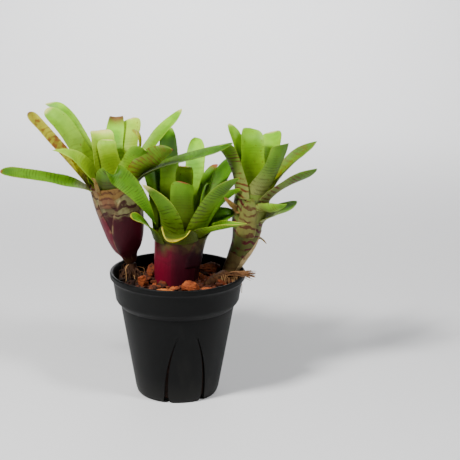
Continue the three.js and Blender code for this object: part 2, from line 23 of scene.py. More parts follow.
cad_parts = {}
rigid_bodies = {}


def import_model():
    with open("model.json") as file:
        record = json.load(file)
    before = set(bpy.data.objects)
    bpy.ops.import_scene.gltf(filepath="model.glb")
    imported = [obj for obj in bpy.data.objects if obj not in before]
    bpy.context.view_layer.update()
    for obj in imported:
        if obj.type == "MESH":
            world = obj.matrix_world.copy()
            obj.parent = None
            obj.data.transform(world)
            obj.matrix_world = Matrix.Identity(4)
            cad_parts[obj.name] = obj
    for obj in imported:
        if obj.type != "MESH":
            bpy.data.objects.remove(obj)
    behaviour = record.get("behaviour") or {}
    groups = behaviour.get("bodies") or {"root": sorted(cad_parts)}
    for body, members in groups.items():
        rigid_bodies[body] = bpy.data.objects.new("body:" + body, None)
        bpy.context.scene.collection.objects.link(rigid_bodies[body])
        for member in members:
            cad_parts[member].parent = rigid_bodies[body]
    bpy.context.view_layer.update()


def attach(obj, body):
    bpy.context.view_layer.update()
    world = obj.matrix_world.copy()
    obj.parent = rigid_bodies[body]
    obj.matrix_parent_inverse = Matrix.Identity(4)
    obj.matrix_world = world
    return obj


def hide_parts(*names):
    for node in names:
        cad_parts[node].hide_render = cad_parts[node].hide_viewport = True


LOG = logging.getLogger("neoregelia")

Point = Tuple[float, float, float]
Pair = Tuple[float, float]
Colour = Tuple[float, float, float, float]
Frame = Tuple[Vector, Vector, Vector, Vector]
Vert = bmesh.types.BMVert
Item = bpy.types.Object
Material = bpy.types.Material

MM = 0.001
GOLDEN_ANGLE = math.pi * (3 - math.sqrt(5))
TO_FRONT = Vector((0, -1, 0))
UP = Vector((0, 0, 1))

# Driving dimensions of the pot and its fill, in millimetres, with radii to the wall's outside
POT_HEIGHT = 85.6
RIM_RADIUS = 46.0
COLLAR_TOP = 79.6
COLLAR_TOP_RADIUS = 43.8
COLLAR_LOW = 67.0
COLLAR_LOW_RADIUS = 42.0
STEP_RADIUS = 40.3
SHOULDER = 62.4
SHOULDER_RADIUS = 38.5
FOOT_RADIUS = 27.6
WALL = 1.3
FLOOR = 1.8
BED_TOP = 77.5
BED_CLEARANCE = 0.4


def clamp(value: float) -> float:
    """Keeps a value between 0 and 1."""
    return min(1.0, max(0.0, value))


def blend(first: float, second: float, share: float) -> float:
    """Goes from the first value to the second as the share goes from 0 to 1."""
    return first + (second - first) * share


def smooth(low: float, high: float, value: float) -> float:
    """Rises softly from 0 to 1 as the value goes from low to high."""
    share = clamp((value - low) / (high - low))
    return share * share * (3 - 2 * share)


def apart(first: float, second: float) -> float:
    """The angle between two azimuths, all in degrees."""
    return abs((first - second + 180) % 360 - 180)


def paint(code: str) -> Colour:
    """Turns a screen colour into a shader's colour, by the sRGB rule.

    Args:
        code: the screen colour, such as '7fae2b'.

    Returns:
        The linear colour, opaque.
    """
    parts = [int(code[k:k + 2], 16) / 255 for k in (0, 2, 4)]
    linear = [p / 12.92 if p <= 0.04045 else ((p + 0.055) / 1.055) ** 2.4 for p in parts]
    return (linear[0], linear[1], linear[2], 1.0)


def hash_draws(seed: int) -> Callable[[], float]:
    """Gives repeatable draws from 0 to 1, the same ones that place the solids.

    Args:
        seed: where the sequence starts.

    Returns:
        A function that gives the next draw.
    """
    factor, step, cycle = 1664525, 1013904223, 2 ** 32
    state = [seed]

    def draw() -> float:
        """Gives the next draw."""
        state[0] = (state[0] * factor + step) % cycle
        return state[0] / cycle

    return draw


def turned(angles: Iterable[float]) -> Matrix:
    """Turns about the X axis, then Y, then Z.

    Args:
        angles: the three angles, in radians.

    Returns:
        The turn.
    """
    turn = Matrix.Identity(3)
    for axis, angle in zip("XYZ", angles):
        turn = Matrix.Rotation(angle, 3, axis) @ turn
    return turn


def make_mesh(bm: bmesh.types.BMesh, name: str) -> bpy.types.Mesh:
    """Keeps a bmesh as a mesh and frees it.

    Args:
        bm: the bmesh.
        name: the mesh's name.

    Returns:
        The mesh.
    """
    mesh = bpy.data.meshes.new(name)
    bm.to_mesh(mesh)
    bm.free()
    return mesh


def add_object(name: str, data: bpy.types.ID) -> Item:
    """Puts a mesh, a light or a camera into the scene.

    Args:
        name: the object's name.
        data: what it shows.

    Returns:
        The object.
    """
    item = bpy.data.objects.new(name, data)
    bpy.context.scene.collection.objects.link(item)
    return item


class Spline:
    """A centripetal curve through points, read by its share of the length."""

    SAMPLES = 100
    STEP = 0.01

    def __init__(self, points: Iterable[Sequence[float]]) -> None:
        """Samples the curve.

        Args:
            points: the knots that it passes.
        """
        self.knots = [Vector(point) for point in points]
        self.samples = [self._between(k / self.SAMPLES) for k in range(self.SAMPLES + 1)]
        self.reach = [0.0]
        for first, second in zip(self.samples, self.samples[1:]):
            self.reach.append(self.reach[-1] + (second - first).length)

    @property
    def length(self) -> float:
        """The length of the whole curve."""
        return self.reach[-1]

    def _between(self, share: float) -> Vector:
        """Finds the point at a share of the knots.

        Args:
            share: 0 at the first knot and 1 at the last.

        Returns:
            The point there.
        """
        knots = self.knots
        place = share * (len(knots) - 1)
        k = min(int(place), len(knots) - 2)
        weight = place - k
        start, end = knots[k], knots[k + 1]
        before = knots[k - 1] if k > 0 else 2 * start - end
        after = knots[k + 2] if k + 2 < len(knots) else 2 * end - start
        gaps = [math.sqrt((b - a).length) or 1.0 for a, b in ((before, start), (start, end), (end, after))]
        leave = (start - before) / gaps[0] - (end - before) / (gaps[0] + gaps[1]) + (end - start) / gaps[1]
        arrive = (end - start) / gaps[1] - (after - start) / (gaps[1] + gaps[2]) + (after - end) / gaps[2]
        leave, arrive = leave * gaps[1], arrive * gaps[1]
        square = 3 * (end - start) - 2 * leave - arrive
        cube = 2 * (start - end) + leave + arrive
        return start + weight * (leave + weight * (square + weight * cube))

    def at(self, share: float) -> Vector:
        """Finds the point at a share of the length.

        Args:
            share: 0 at the start and 1 at the end.

        Returns:
            The point there.
        """
        goal = clamp(share) * self.length
        high = max(1, min(self.SAMPLES, bisect_left(self.reach, goal)))
        low = high - 1
        span = self.reach[high] - self.reach[low]
        return self.samples[low].lerp(self.samples[high], (goal - self.reach[low]) / span)

    def heading(self, share: float) -> Vector:
        """The direction of travel at a share of the length."""
        return (self.at(share + self.STEP) - self.at(share - self.STEP)).normalized()

    def frame(self, share: float) -> Frame:
        """Finds the curve's own frame at a share of the length.

        Args:
            share: 0 at the start and 1 at the end.

        Returns:
            The point there, the direction of travel, the front and the right.
        """
        axis = self.heading(share)
        front = (TO_FRONT - axis * TO_FRONT.dot(axis)).normalized()
        return self.at(share), axis, front, axis.cross(front)


class Signal:
    """A shader socket whose arithmetic adds Math nodes."""

    def __init__(self, shader: "Shader", socket: bpy.types.NodeSocket) -> None:
        """Keeps the socket and the shader that it belongs to."""
        self.shader = shader
        self.socket = socket

    def _math(self, operation: str, first: "Level", second: "Level" = 0.0) -> "Signal":
        """Adds one Math node on two values."""
        return self.shader.node("ShaderNodeMath", {"operation": operation}, {0: first, 1: second})

    def __add__(self, other: "Level") -> "Signal":
        """Adds."""
        return self._math("ADD", self, other)

    __radd__ = __add__

    def __sub__(self, other: "Level") -> "Signal":
        """Subtracts."""
        return self._math("SUBTRACT", self, other)

    def __rsub__(self, other: "Level") -> "Signal":
        """Subtracts from a number."""
        return self._math("SUBTRACT", other, self)

    def __mul__(self, other: "Level") -> "Signal":
        """Multiplies."""
        return self._math("MULTIPLY", self, other)

    __rmul__ = __mul__

    def wave(self) -> "Signal":
        """The sine of the value."""
        return self._math("SINE", self)

    def size(self) -> "Signal":
        """The value without its sign."""
        return self._math("ABSOLUTE", self)

    def rise(self, low: float, high: float) -> "Signal":
        """Rises softly from 0 to 1 as the value goes from low to high."""
        values = {"Value": self, "From Min": low, "From Max": high}
        return self.shader.node("ShaderNodeMapRange", {"interpolation_type": "SMOOTHSTEP"}, values)

    def fall(self, low: float, high: float) -> "Signal":
        """Falls softly from 1 to 0 as the value goes from low to high."""
        return 1 - self.rise(low, high)


Level = Union[Signal, float]
Tint = Union[Signal, str]


class Shader:
    """One material under construction."""

    def __init__(self, name: str) -> None:
        """Makes a material with its surface shader and its output.

        Args:
            name: the material's name.
        """
        self.material = bpy.data.materials.new(name)
        self.material.use_nodes = True
        self.tree = self.material.node_tree
        self.surface = self.tree.nodes["Principled BSDF"]

    def node(self, kind: str, settings: Dict[str, Any], values: Dict[Any, Any], output: Any = 0) -> Signal:
        """Adds any node.

        Args:
            kind: the node's type.
            settings: its properties, set first. The key stops lists a ramp's places and colours.
            values: a number, a colour or a signal for each named or numbered input.
            output: the name or number of the output to read.

        Returns:
            The signal of that output.
        """
        made = self.tree.nodes.new(kind)
        for key, setting in settings.items():
            if key == "stops":
                elements = made.color_ramp.elements
                while len(elements) < len(setting):
                    elements.new(1.0)
                for element, (place, colour) in zip(elements, setting):
                    element.position = place
                    element.color = colour
            else:
                setattr(made, key, setting)
        for key, value in values.items():
            if isinstance(value, Signal):
                self.tree.links.new(value.socket, made.inputs[key])
            else:
                made.inputs[key].default_value = value
        return Signal(self, made.outputs[output])

    def place(self) -> Signal:
        """The point's own coordinates, in metres."""
        return self.node("ShaderNodeTexCoord", {}, {}, "Object")

    def attribute(self, name: str, output: str = "Fac") -> Signal:
        """A value that the mesh carries under a name."""
        return self.node("ShaderNodeAttribute", {"attribute_name": name}, {}, output)

    def sheet(self) -> Tuple[Signal, ...]:
        """How far a point lies across and along its blade, each from 0 to 1."""
        spot = self.node("ShaderNodeUVMap", {"uv_map": "Blade"}, {})
        return tuple(self.node("ShaderNodeSeparateXYZ", {}, {0: spot}, axis) for axis in "XY")

    def grain(
        self, scale: float, detail: float = 3.0, stretch: Point = (1, 1, 1), turn: Point = (0, 0, 0),
    ) -> Signal:
        """Adds a noise over the piece.

        Args:
            scale: how many features fit in a metre.
            detail: how many finer layers it has.
            stretch: how much closer the features lie along each axis.
            turn: how far the pattern is turned about each axis, in radians.

        Returns:
            The noise, about 0.5.
        """
        values = {"Vector": self.place(), "Scale": stretch, "Rotation": turn}
        spot = self.node("ShaderNodeMapping", {}, values)
        return self.node("ShaderNodeTexNoise", {}, {"Vector": spot, "Scale": scale, "Detail": detail})

    def ramp(self, level: Signal, stops: Sequence[Tuple[float, str]]) -> Signal:
        """Reads a colour off a ramp of places and screen colours."""
        colours = [(place, paint(code)) for place, code in stops]
        return self.node("ShaderNodeValToRGB", {"stops": colours}, {"Fac": level})

    def mix(self, share: Level, first: Tint, second: Tint) -> Signal:
        """Goes from the first colour to the second as the share goes from 0 to 1."""
        first, second = (paint(tint) if isinstance(tint, str) else tint for tint in (first, second))
        return self.node("ShaderNodeMix", {"data_type": "RGBA"}, {0: share, 6: first, 7: second}, 2)

    def coats(self, colour: Tint, coats: Iterable[Tuple[Level, Tint]]) -> Signal:
        """Lays coats over a colour, one by one.

        Args:
            colour: the lowest colour, a signal or a screen colour like the others.
            coats: how far each coat covers what is below it, and its colour.

        Returns:
            The colour on top.
        """
        for share, tint in coats:
            colour = self.mix(share, colour, tint)
        return colour

    def shade(self, colour: Signal, factor: Level) -> Signal:
        """Makes a colour lighter or darker by a factor."""
        return self.node("ShaderNodeVectorMath", {"operation": "SCALE"}, {0: colour, "Scale": factor})

    def finish(
        self, colour: Signal, roughness: Level, height: Level, depth: float, shine: float,
        **constants: Any,
    ) -> Material:
        """Joins the looks to the surface.

        Args:
            colour: the base colour.
            roughness: how matt the surface is.
            height: the relief, from 0 to 1.
            depth: how deep the relief is, in millimetres.
            shine: how strong the mirror part of the light is.
            constants: the surface shader's other inputs, by their names with underscores.

        Returns:
            The finished material.
        """
        self.surface.inputs["Specular IOR Level"].default_value = shine
        for name, value in constants.items():
            self.surface.inputs[name.replace("_", " ")].default_value = value
        self.tree.links.new(colour.socket, self.surface.inputs["Base Color"])
        if isinstance(roughness, Signal):
            self.tree.links.new(roughness.socket, self.surface.inputs["Roughness"])
        else:
            self.surface.inputs["Roughness"].default_value = roughness
        bump = self.node("ShaderNodeBump", {}, {"Strength": 1.0, "Distance": depth * MM, "Height": height})
        self.tree.links.new(bump.socket, self.surface.inputs["Normal"])
        return self.material


class Tone(Enum):
    """The basic colour of a leaf: its sunny side, its shade, its pale streaks, and the record's slot."""

    GREEN = ("528404", "386404", "82b01e", "leaf_green")
    LIME = ("7cb60c", "568e06", "aed83a", "leaf_green")
    # FRESH: a lighter green; on both hearts it partly stands for painted light.
    FRESH = ("a2d01c", "7cae12", "d0ec58", "leaf_green")
    PALE = ("8ace0c", "5ca204", "c2ec34", "leaf_pale")
    # BRIGHT: a pale tone lightened past the leaves' own colour as painted highlight, for the cup and the
    # back_round.
    BRIGHT = ("b6e030", "90c41c", "e2f46c", "leaf_pale")
    DEEP = ("487c06", "325a04", "6c9c1c", "leaf_deep")
    YELLOW = ("a6a41c", "807c14", "ccc850", "leaf_yellow")
    DRIED = ("b08c40", "74582a", "c8ac70", "leaf_dried")


class Tip(Enum):
    """How a leaf's tip is coloured."""

    PLAIN = "8cb834"
    PALE = "dcdc78"
    RED = "a2442c"
    BROWN = "7c5c34"
    GOLD = "b4a21c"


class Base(Enum):
    """How a leaf is coloured where it leaves the crown: its own base colour, carried up the blade as
    painted shade.
    """

    INNER = "6c8412"
    OLIVE = "3c3c12"
    MOTTLED = "7c7c44"
    DRY = "6e5028"


class Band(Enum):
    """The colour of a leaf's cross bands, on its upper face and on its underside."""

    OLIVE = ("34480a", "36380e")
    RED = ("5c3212", "5c2416")


@dataclass(frozen=True)
class Marks:
    """What is only colour on a leaf.

    Attributes:
        bands: how strong the cross bands are.
        lines: how many bands a whole blade would have.
        reach: the share of the length that they cover, from the root.
        band: their colour.
        edge: how yellow the margins are.
        tip: the tip's colour.
        tip_length: the share of the length that the tip's colour covers.
        blotch: how strong the red-brown blotches are.
        base: the colour at the root: the leaf's own base colour, and painted shade of the crown on the
            lower blade.
        base_reach: the share of the length by which that colour and painted shade have faded.
    """

    bands: float = 0.35
    lines: int = 26
    reach: float = 0.6
    band: Band = Band.OLIVE
    edge: float = 0.1
    tip: Tip = Tip.PLAIN
    tip_length: float = 0.06
    blotch: float = 0.0
    base: Base = Base.INNER
    base_reach: float = 0.5


@dataclass(frozen=True)
class LeafFinish:
    """The waxy skin of a leaf, with veins, cross bands, margins and tip."""

    tone: Tone
    marks: Marks
    seed: int

    UNDER = "6c8c2c"
    BLOTCH = "743812"
    SPECK = "5e3010"
    MARGIN = "c8c040"
    VEINS = 150

    def material(self, name: str) -> Material:
        """Builds the finish.

        Args:
            name: the material's name.

        Returns:
            The material.
        """
        shader, marks = Shader(name), self.marks
        across, along = shader.sheet()
        side = (across * 2 - 1).size()
        under = shader.attribute("underside")
        turn = (0.4 * self.seed, 0.7 * self.seed, 0.2 * self.seed)
        patch = shader.grain(70, 2, turn=turn)
        fine = shader.grain(420, 3, turn=turn)
        vein = (across * self.VEINS + patch * 3).wave()

        # The base coat: the leaf's own colour at the root, spread up the blade as painted shade.
        root = along.fall(0.04, marks.base_reach + 0.06 * (self.seed % 3))
        drift = shader.grain(160, 2, turn=turn)
        phase = along * (math.tau * marks.lines) + patch * 12 + side * 1.6
        band = phase.wave().rise(0.0, 0.95) * drift.rise(0.34, 0.58)
        band = band * along.fall(0.5 * marks.reach, marks.reach)
        end = (along + fine * 0.04).rise(1.02 - marks.tip_length, 1.04 - 0.35 * marks.tip_length)
        specks = shader.grain(520, 2, turn=turn).rise(0.68, 0.73)

        blade, shade, pale, _ = self.tone.value
        coats = [
            (patch.rise(0.35, 0.65), shade),
            (side.rise(0.45, 1.0) * 0.26 + vein * 0.1, pale),
            (under * 0.25, self.UNDER),
            (root * 0.8, marks.base.value),
            (band * (under * 0.2 + marks.bands), shader.mix(under, *marks.band.value)),
        ]
        if marks.blotch:
            spots = shader.grain(260, 3, turn=turn).rise(0.48, 0.62)
            coats.append((spots * marks.blotch, self.BLOTCH))
        if marks.edge:
            rim = side.rise(0.84, 0.99) * along.rise(0.25, 0.75)
            coats.append((rim * marks.edge, self.MARGIN))
        coats += [(end, marks.tip.value), (specks * 0.7, self.SPECK)]
        colour = shader.shade(shader.coats(blade, coats), fine * 0.24 + 0.88)
        relief = vein * 0.25 + fine * 0.5 + band * 0.25
        return shader.finish(
            colour, fine * 0.16 + 0.35, relief, depth=0.14, shine=0.2, Subsurface_Weight=0.12,
            Subsurface_Radius=(0.6, 1.0, 0.1), Subsurface_Scale=1.2 * MM,
        )


@dataclass(frozen=True)
class SheathFinish:
    """The skin of a sheath tube, with heights as shares of the tube and screen colours."""

    mottle: str
    mottle_from: float
    mottle_to: float
    collar: str
    collar_from: float
    band: str
    bands: float
    bands_from: float
    ripples: float
    neck: str
    neck_to: float
    margin: str

    FLECK = "6a4a2e"

    def material(self, name: str) -> Material:
        """Builds the finish.

        Args:
            name: the material's name.

        Returns:
            The material.
        """
        shader = Shader(name)
        rise = shader.attribute("rise")
        papery = shader.attribute("papery")
        patch = shader.grain(95, 3)
        fine = shader.grain(520, 4, stretch=(1, 1, 0.35))
        streak = shader.grain(900, 2, stretch=(1, 1, 0.08))

        cloud = shader.grain(130, 2, turn=(0.2, 0.5, 0.8))
        where = rise + patch * 0.5 - 0.25
        mottled = where.rise(self.mottle_from, self.mottle_to) * (1 - papery)
        ripple = (rise * self.ripples + patch * 16 + shader.grain(60, 2) * 9).wave().rise(0.1, 0.6)
        broken = shader.grain(110, 3, turn=(0.3, 0.9, 0.1)).rise(0.36, 0.52)
        bands = ripple * broken * where.rise(self.bands_from, self.bands_from + 0.15) * (1 - papery * 0.7)
        flecks = shader.grain(600, 3, stretch=(1, 1, 0.2)).rise(0.55, 0.68) * papery
        neck = (rise + patch * 0.05).fall(0.4 * self.neck_to, self.neck_to)

        skin = shader.attribute("skin", "Color")
        colour = shader.coats(skin, (
            (streak.rise(0.3, 0.7) * 0.25, shader.shade(skin, 0.55)),
            (mottled * (cloud.rise(0.4, 0.56) * 0.6 + 0.35), self.mottle),
            (where.rise(self.collar_from, self.collar_from + 0.07) * 0.9, self.collar),
            (bands * self.bands, self.band),
            (flecks * 0.6, self.FLECK),
            (neck * 0.85, self.neck),
            (shader.attribute("margin") * cloud.rise(0.35, 0.6) * 0.6, self.margin),
        ))
        colour = shader.shade(colour, fine * 0.3 + 0.85)
        relief = fine * 0.5 + streak * 0.5
        roughness = fine * 0.15 + papery * 0.3 + 0.38
        return shader.finish(colour, roughness, relief, depth=0.1, shine=0.12)


@dataclass(frozen=True)
class BarkFinish:
    """Fir bark, from nearly black to tan by the tone that each chip carries."""

    TONES = (
        (0.0, "120a06"), (0.18, "2c170d"), (0.42, "542814"),
        (0.66, "843e1c"), (0.85, "a45c2c"), (1.0, "b98450"),
    )
    CRACK = "1c100a"

    def material(self, name: str) -> Material:
        """Builds the finish.

        Args:
            name: the material's name.

        Returns:
            The material.
        """
        shader = Shader(name)
        tone = shader.attribute("tone")
        flake = shader.grain(260, 5, stretch=(1, 1, 2.6), turn=(0.4, 0.3, 0.2))
        pit = shader.grain(900, 4)
        level = tone + (flake - 0.5) * 0.55 + (pit - 0.5) * 0.25
        crack = flake.fall(0.3, 0.42)
        colour = shader.mix(crack * 0.7, shader.ramp(level, self.TONES), self.CRACK)
        return shader.finish(colour, 0.92, flake * 0.7 + pit * 0.4, depth=0.7, shine=0.25)


@dataclass(frozen=True)
class RootFinish:
    """Wiry roots and woody stubs: tan to dark brown, dull."""

    TONES = ((0.0, "1c110a"), (0.35, "442a18"), (0.65, "7c5430"), (1.0, "ba9262"))

    def material(self, name: str) -> Material:
        """Builds the finish.

        Args:
            name: the material's name.

        Returns:
            The material.
        """
        shader = Shader(name)
        tone = shader.attribute("tone")
        grain = shader.grain(700, 4, stretch=(1, 1, 0.4))
        colour = shader.ramp(tone + (grain - 0.5) * 0.6, self.TONES)
        return shader.finish(colour, 0.85, grain, depth=0.25, shine=0.3)


@dataclass(frozen=True)
class PotFinish:
    """Satin charcoal plastic with a fine moulded grain and a little dust near the foot."""

    PLASTIC = ("090a0a", "0d0e0e")
    DUST = "4a4844"
    DUST_HEIGHT = 20.0

    def material(self, name: str) -> Material:
        """Builds the finish.

        Args:
            name: the material's name.

        Returns:
            The material.
        """
        shader = Shader(name)
        height = shader.node("ShaderNodeSeparateXYZ", {}, {0: shader.place()}, "Z")
        cloud = shader.grain(26, 3)
        fine = shader.grain(1500, 3)
        scuff = shader.grain(90, 4, stretch=(1, 1, 0.3)).rise(0.58, 0.75)
        dust = height.fall(0.0, self.DUST_HEIGHT * MM) * 0.12 + scuff * 0.06
        dark, light = self.PLASTIC
        colour = shader.coats(dark, ((cloud.rise(0.3, 0.7), light), (dust, self.DUST)))
        roughness = cloud * 0.1 + scuff * 0.12 + 0.42
        return shader.finish(colour, roughness, fine, depth=0.04, shine=0.1)


class Builder:
    """A mesh under construction, with the attributes that its finish reads."""

    def __init__(self, layers: Sequence[str] = (), skin: bool = False, blade: bool = False) -> None:
        """Starts an empty mesh.

        Args:
            layers: the names of the numbers that its vertices carry.
            skin: whether they carry a colour too.
            blade: whether it has a leaf's own map.
        """
        self.bm = bmesh.new()
        self.layers = {name: self.bm.verts.layers.float.new(name) for name in layers}
        self.skin = self.bm.verts.layers.float_color.new("skin") if skin else None
        if blade:
            self.bm.loops.layers.uv.new("Blade")

    def lathe(self, profile: Sequence[Pair], sides: int) -> List[Vert]:
        """Turns a profile of radius and height about the upright axis, and closes its seam and poles.

        Args:
            profile: the points, from the axis and back to it.
            sides: how many faces go round.

        Returns:
            The new vertices.
        """
        bm = self.bm
        known = set(bm.verts)
        verts = [bm.verts.new((radius, 0.0, height)) for radius, height in profile]
        edges = [bm.edges.new(pair) for pair in zip(verts, verts[1:])]
        bmesh.ops.spin(
            bm, geom=verts + edges, cent=(0, 0, 0), axis=(0, 0, 1), dvec=(0, 0, 0),
            angle=math.tau, steps=sides, use_merge=True, use_duplicate=False,
        )
        spun = [vert for vert in bm.verts if vert not in known]
        bmesh.ops.remove_doubles(bm, verts=spun, dist=1e-4)
        fresh = [vert for vert in bm.verts if vert not in known]
        faces = {face for vert in fresh for face in vert.link_faces}
        bmesh.ops.recalc_face_normals(bm, faces=list(faces))
        return fresh

    def bent_tube(self, curve: Spline, profile: Sequence[Pair], sides: int) -> List[Vert]:
        """Makes a round tube that follows a curve.

        Args:
            curve: the curve.
            profile: points of radius and distance along it.
            sides: how many faces go round.

        Returns:
            The new vertices.
        """
        verts = self.lathe(profile, sides)
        rings: Dict[float, Tuple[Vector, Vector, Vector]] = {}
        for vert in verts:
            x, y, z = vert.co
            key = round(z, 4)
            if key not in rings:
                share = clamp(z / curve.length)
                middle, axis, front, right = curve.frame(share)
                rings[key] = (middle + axis * (z - share * curve.length), front, right)
            centre, front, right = rings[key]
            vert.co = centre + right * x - front * y
        return verts

    def sheet(self, columns: int, rows: int, place: Callable[[float, float, bool], Vector]) -> List[Vert]:
        """Makes a thin closed sheet from a grid and its copy.

        Args:
            columns: the faces across.
            rows: the faces along.
            place: gives a vertex's place from how far it lies across, from -1 to 1, and along,
                from 0 to 1, and whether it is on the copy, which is the outer or under face.

        Returns:
            The new vertices, those of the grid first.
        """
        bm = self.bm
        known = set(bm.faces)
        grid = bmesh.ops.create_grid(bm, x_segments=columns, y_segments=rows, size=1.0, calc_uvs=True)
        faces = [face for face in bm.faces if face not in known]
        grown = bmesh.ops.extrude_face_region(bm, geom=faces)
        copies = [item for item in grown["geom"] if isinstance(item, Vert)]
        for verts, copied in ((grid["verts"], False), (copies, True)):
            for vert in verts:
                vert.co = place(vert.co.x, (vert.co.y + 1) / 2, copied)
        return grid["verts"] + copies

    def stone(self, cuts: int, shape: Callable[[Vector], Vector]) -> List[Vert]:
        """Makes a rounded block of a fineness and moves each vertex to where the shape puts it.

        Args:
            cuts: how often each edge of the block is cut.
            shape: gives a vertex's place from its place on the unit ball.

        Returns:
            The new vertices.
        """
        block = bmesh.ops.create_cube(self.bm, size=2.0)
        edges = list({edge for vert in block["verts"] for edge in vert.link_edges})
        cut = bmesh.ops.subdivide_edges(self.bm, edges=edges, cuts=cuts, use_grid_fill=True)
        inner = [item for item in cut["geom_inner"] if isinstance(item, Vert)]
        verts = {vert for item in inner for face in item.link_faces for vert in face.verts}
        for vert in verts:
            vert.co = shape(vert.co.normalized())
        return list(verts)

    def mark(self, verts: Iterable[Vert], name: str, value: float) -> None:
        """Writes the same value of an attribute on some vertices."""
        for vert in verts:
            vert[self.layers[name]] = value

    def finish(
        self, name: str, material: Material, slot: str, nodes: Sequence[str], crease: float,
    ) -> Item:
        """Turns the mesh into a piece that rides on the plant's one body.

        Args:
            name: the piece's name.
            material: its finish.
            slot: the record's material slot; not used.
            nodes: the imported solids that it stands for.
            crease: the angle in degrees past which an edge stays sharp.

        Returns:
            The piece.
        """
        bmesh.ops.scale(self.bm, vec=(MM, MM, MM), verts=self.bm.verts)
        mesh = make_mesh(self.bm, name)
        mesh.materials.append(material)
        mesh.shade_smooth()
        mesh.set_sharp_from_angle(angle=math.radians(crease))
        piece = add_object(name, mesh)
        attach(piece, "root")
        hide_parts(*nodes)
        LOG.info("%s: %d faces", name, len(mesh.polygons))
        return piece


@dataclass
class SlitPot:
    """The round nursery pot: rolled rim, stepped collar, tapered wall and drainage slits.

    Attributes:
        slit_panels: how many arched panels there are, each between two slits.
        spread: the half angle between a panel's slits at the foot, in degrees.
        arch_height: the height where a panel's slits would meet.
        corner: the height of the flare at a slit's foot.
        groove: how deep the line under the shoulder is.
        inner_radius: how far in the slits' cutters reach.
        lip: the radius of the rim's bead.
        crease: the angle in degrees past which an edge stays sharp.
    """

    sides: int = 144
    slit_panels: int = 3
    panel_azimuth: float = 13.0
    spread: float = 26.0
    arch_height: float = 64.0
    slit_top: float = 49.0
    foot_width: float = 3.0
    top_width: float = 0.35
    corner: float = 5.0
    groove: float = 0.1
    ring_step: float = 4.0
    inner_radius: float = 24.0
    lip: float = 1.0
    crease: float = 32.0

    def profile(self) -> List[Pair]:
        """Lists the wall's outline.

        Returns:
            Points of radius and height, from the axis under the floor to the axis above it.
        """
        rim = [
            (RIM_RADIUS + self.lip * (math.sin(angle) - 1), POT_HEIGHT + self.lip * (math.cos(angle) - 1))
            for angle in (math.radians(degrees) for degrees in (95, 70, 45, 20, 0))
        ]
        under = SHOULDER_RADIUS - self.groove
        outer = [
            (0, 0), (FOOT_RADIUS - 1.9, 0), (FOOT_RADIUS - 0.7, 0.25), (FOOT_RADIUS, 1),
            *self.rings((FOOT_RADIUS + 1, 4), (SHOULDER_RADIUS, SHOULDER - 0.8)),
            (under + 0.1, SHOULDER - 0.3), (under + 0.2, SHOULDER + 0.2),
            (SHOULDER_RADIUS + 0.7, SHOULDER + 0.7), (STEP_RADIUS, SHOULDER + 2.2),
            (STEP_RADIUS + 0.9, COLLAR_LOW - 1.4), (COLLAR_LOW_RADIUS, COLLAR_LOW),
            *self.rings((COLLAR_LOW_RADIUS + 0.1, COLLAR_LOW + 0.8), (COLLAR_TOP_RADIUS, COLLAR_TOP - 0.8)),
            (COLLAR_TOP_RADIUS + 0.15, COLLAR_TOP), (COLLAR_TOP_RADIUS + 0.5, COLLAR_TOP + 0.8),
            (RIM_RADIUS - 0.8, COLLAR_TOP + 1.7), (RIM_RADIUS - 0.2, COLLAR_TOP + 2.4),
        ]
        inner = [
            (RIM_RADIUS - 1.9, POT_HEIGHT - 0.3), (COLLAR_TOP_RADIUS + 0.6 - WALL, POT_HEIGHT - 2),
            (COLLAR_TOP_RADIUS + 0.1 - WALL, COLLAR_TOP), (COLLAR_LOW_RADIUS - WALL, COLLAR_LOW),
            (STEP_RADIUS - WALL, SHOULDER + 2.2), (SHOULDER_RADIUS - WALL, SHOULDER),
            (FOOT_RADIUS + 1.1 - WALL, 4.6), (FOOT_RADIUS - 1.2 - WALL, FLOOR), (0, FLOOR),
        ]
        return outer + rim + inner

    def rings(self, low: Pair, high: Pair) -> List[Pair]:
        """Divides a straight stretch of the outline into even steps."""
        count = max(1, round((high[1] - low[1]) / self.ring_step))
        return [tuple(blend(*ends, k / count) for ends in zip(low, high)) for k in range(count + 1)]

    def slit_place(self, spot: Vector, panel: int, side: int) -> Vector:
        """Bends a unit block into the cutter of one slit.

        Args:
            spot: a corner of the block, each part from -1 to 1.
            panel: which arched panel the slit borders.
            side: -1 or 1, for the panel's two sides.

        Returns:
            Where the corner goes.
        """
        height = blend(-1, self.slit_top, (spot.z + 1) / 2)
        centre = self.panel_azimuth + panel * 360 / self.slit_panels
        azimuth = math.radians(centre + side * self.spread * (1 - (height / self.arch_height) ** 2))
        corner = self.foot_width * clamp(1 - height / self.corner) ** 2
        width = blend(self.foot_width, self.top_width, clamp(height / self.slit_top)) + corner
        radius = blend(self.inner_radius, RIM_RADIUS, (spot.y + 1) / 2)
        outward = Matrix.Rotation(azimuth, 3, "Z") @ TO_FRONT
        sideways = Vector((-outward.y, outward.x, 0))
        return outward * radius + sideways * (spot.x * width / 2) + UP * height

    def cutter(self) -> Item:
        """Makes all the slits' cutters as one helper.

        Returns:
            The helper, in metres.
        """
        bm = bmesh.new()
        bmesh.ops.create_cube(bm, size=2.0)
        upright = [edge for edge in bm.edges if abs((edge.verts[0].co - edge.verts[1].co).z) > 1]
        bmesh.ops.subdivide_edges(bm, edges=upright, cuts=15, use_grid_fill=True)
        block = bm.verts[:]
        parts = block + bm.edges[:] + bm.faces[:]
        for panel in range(self.slit_panels):
            for side in (-1, 1):
                copied = bmesh.ops.duplicate(bm, geom=parts)
                for item in copied["geom"]:
                    if isinstance(item, Vert):
                        item.co = self.slit_place(item.co, panel, side)
        bmesh.ops.delete(bm, geom=block, context="VERTS")
        bmesh.ops.scale(bm, vec=(MM, MM, MM), verts=bm.verts)
        bmesh.ops.recalc_face_normals(bm, faces=bm.faces)
        return add_object("slit_cutter", make_mesh(bm, "slit_cutter"))

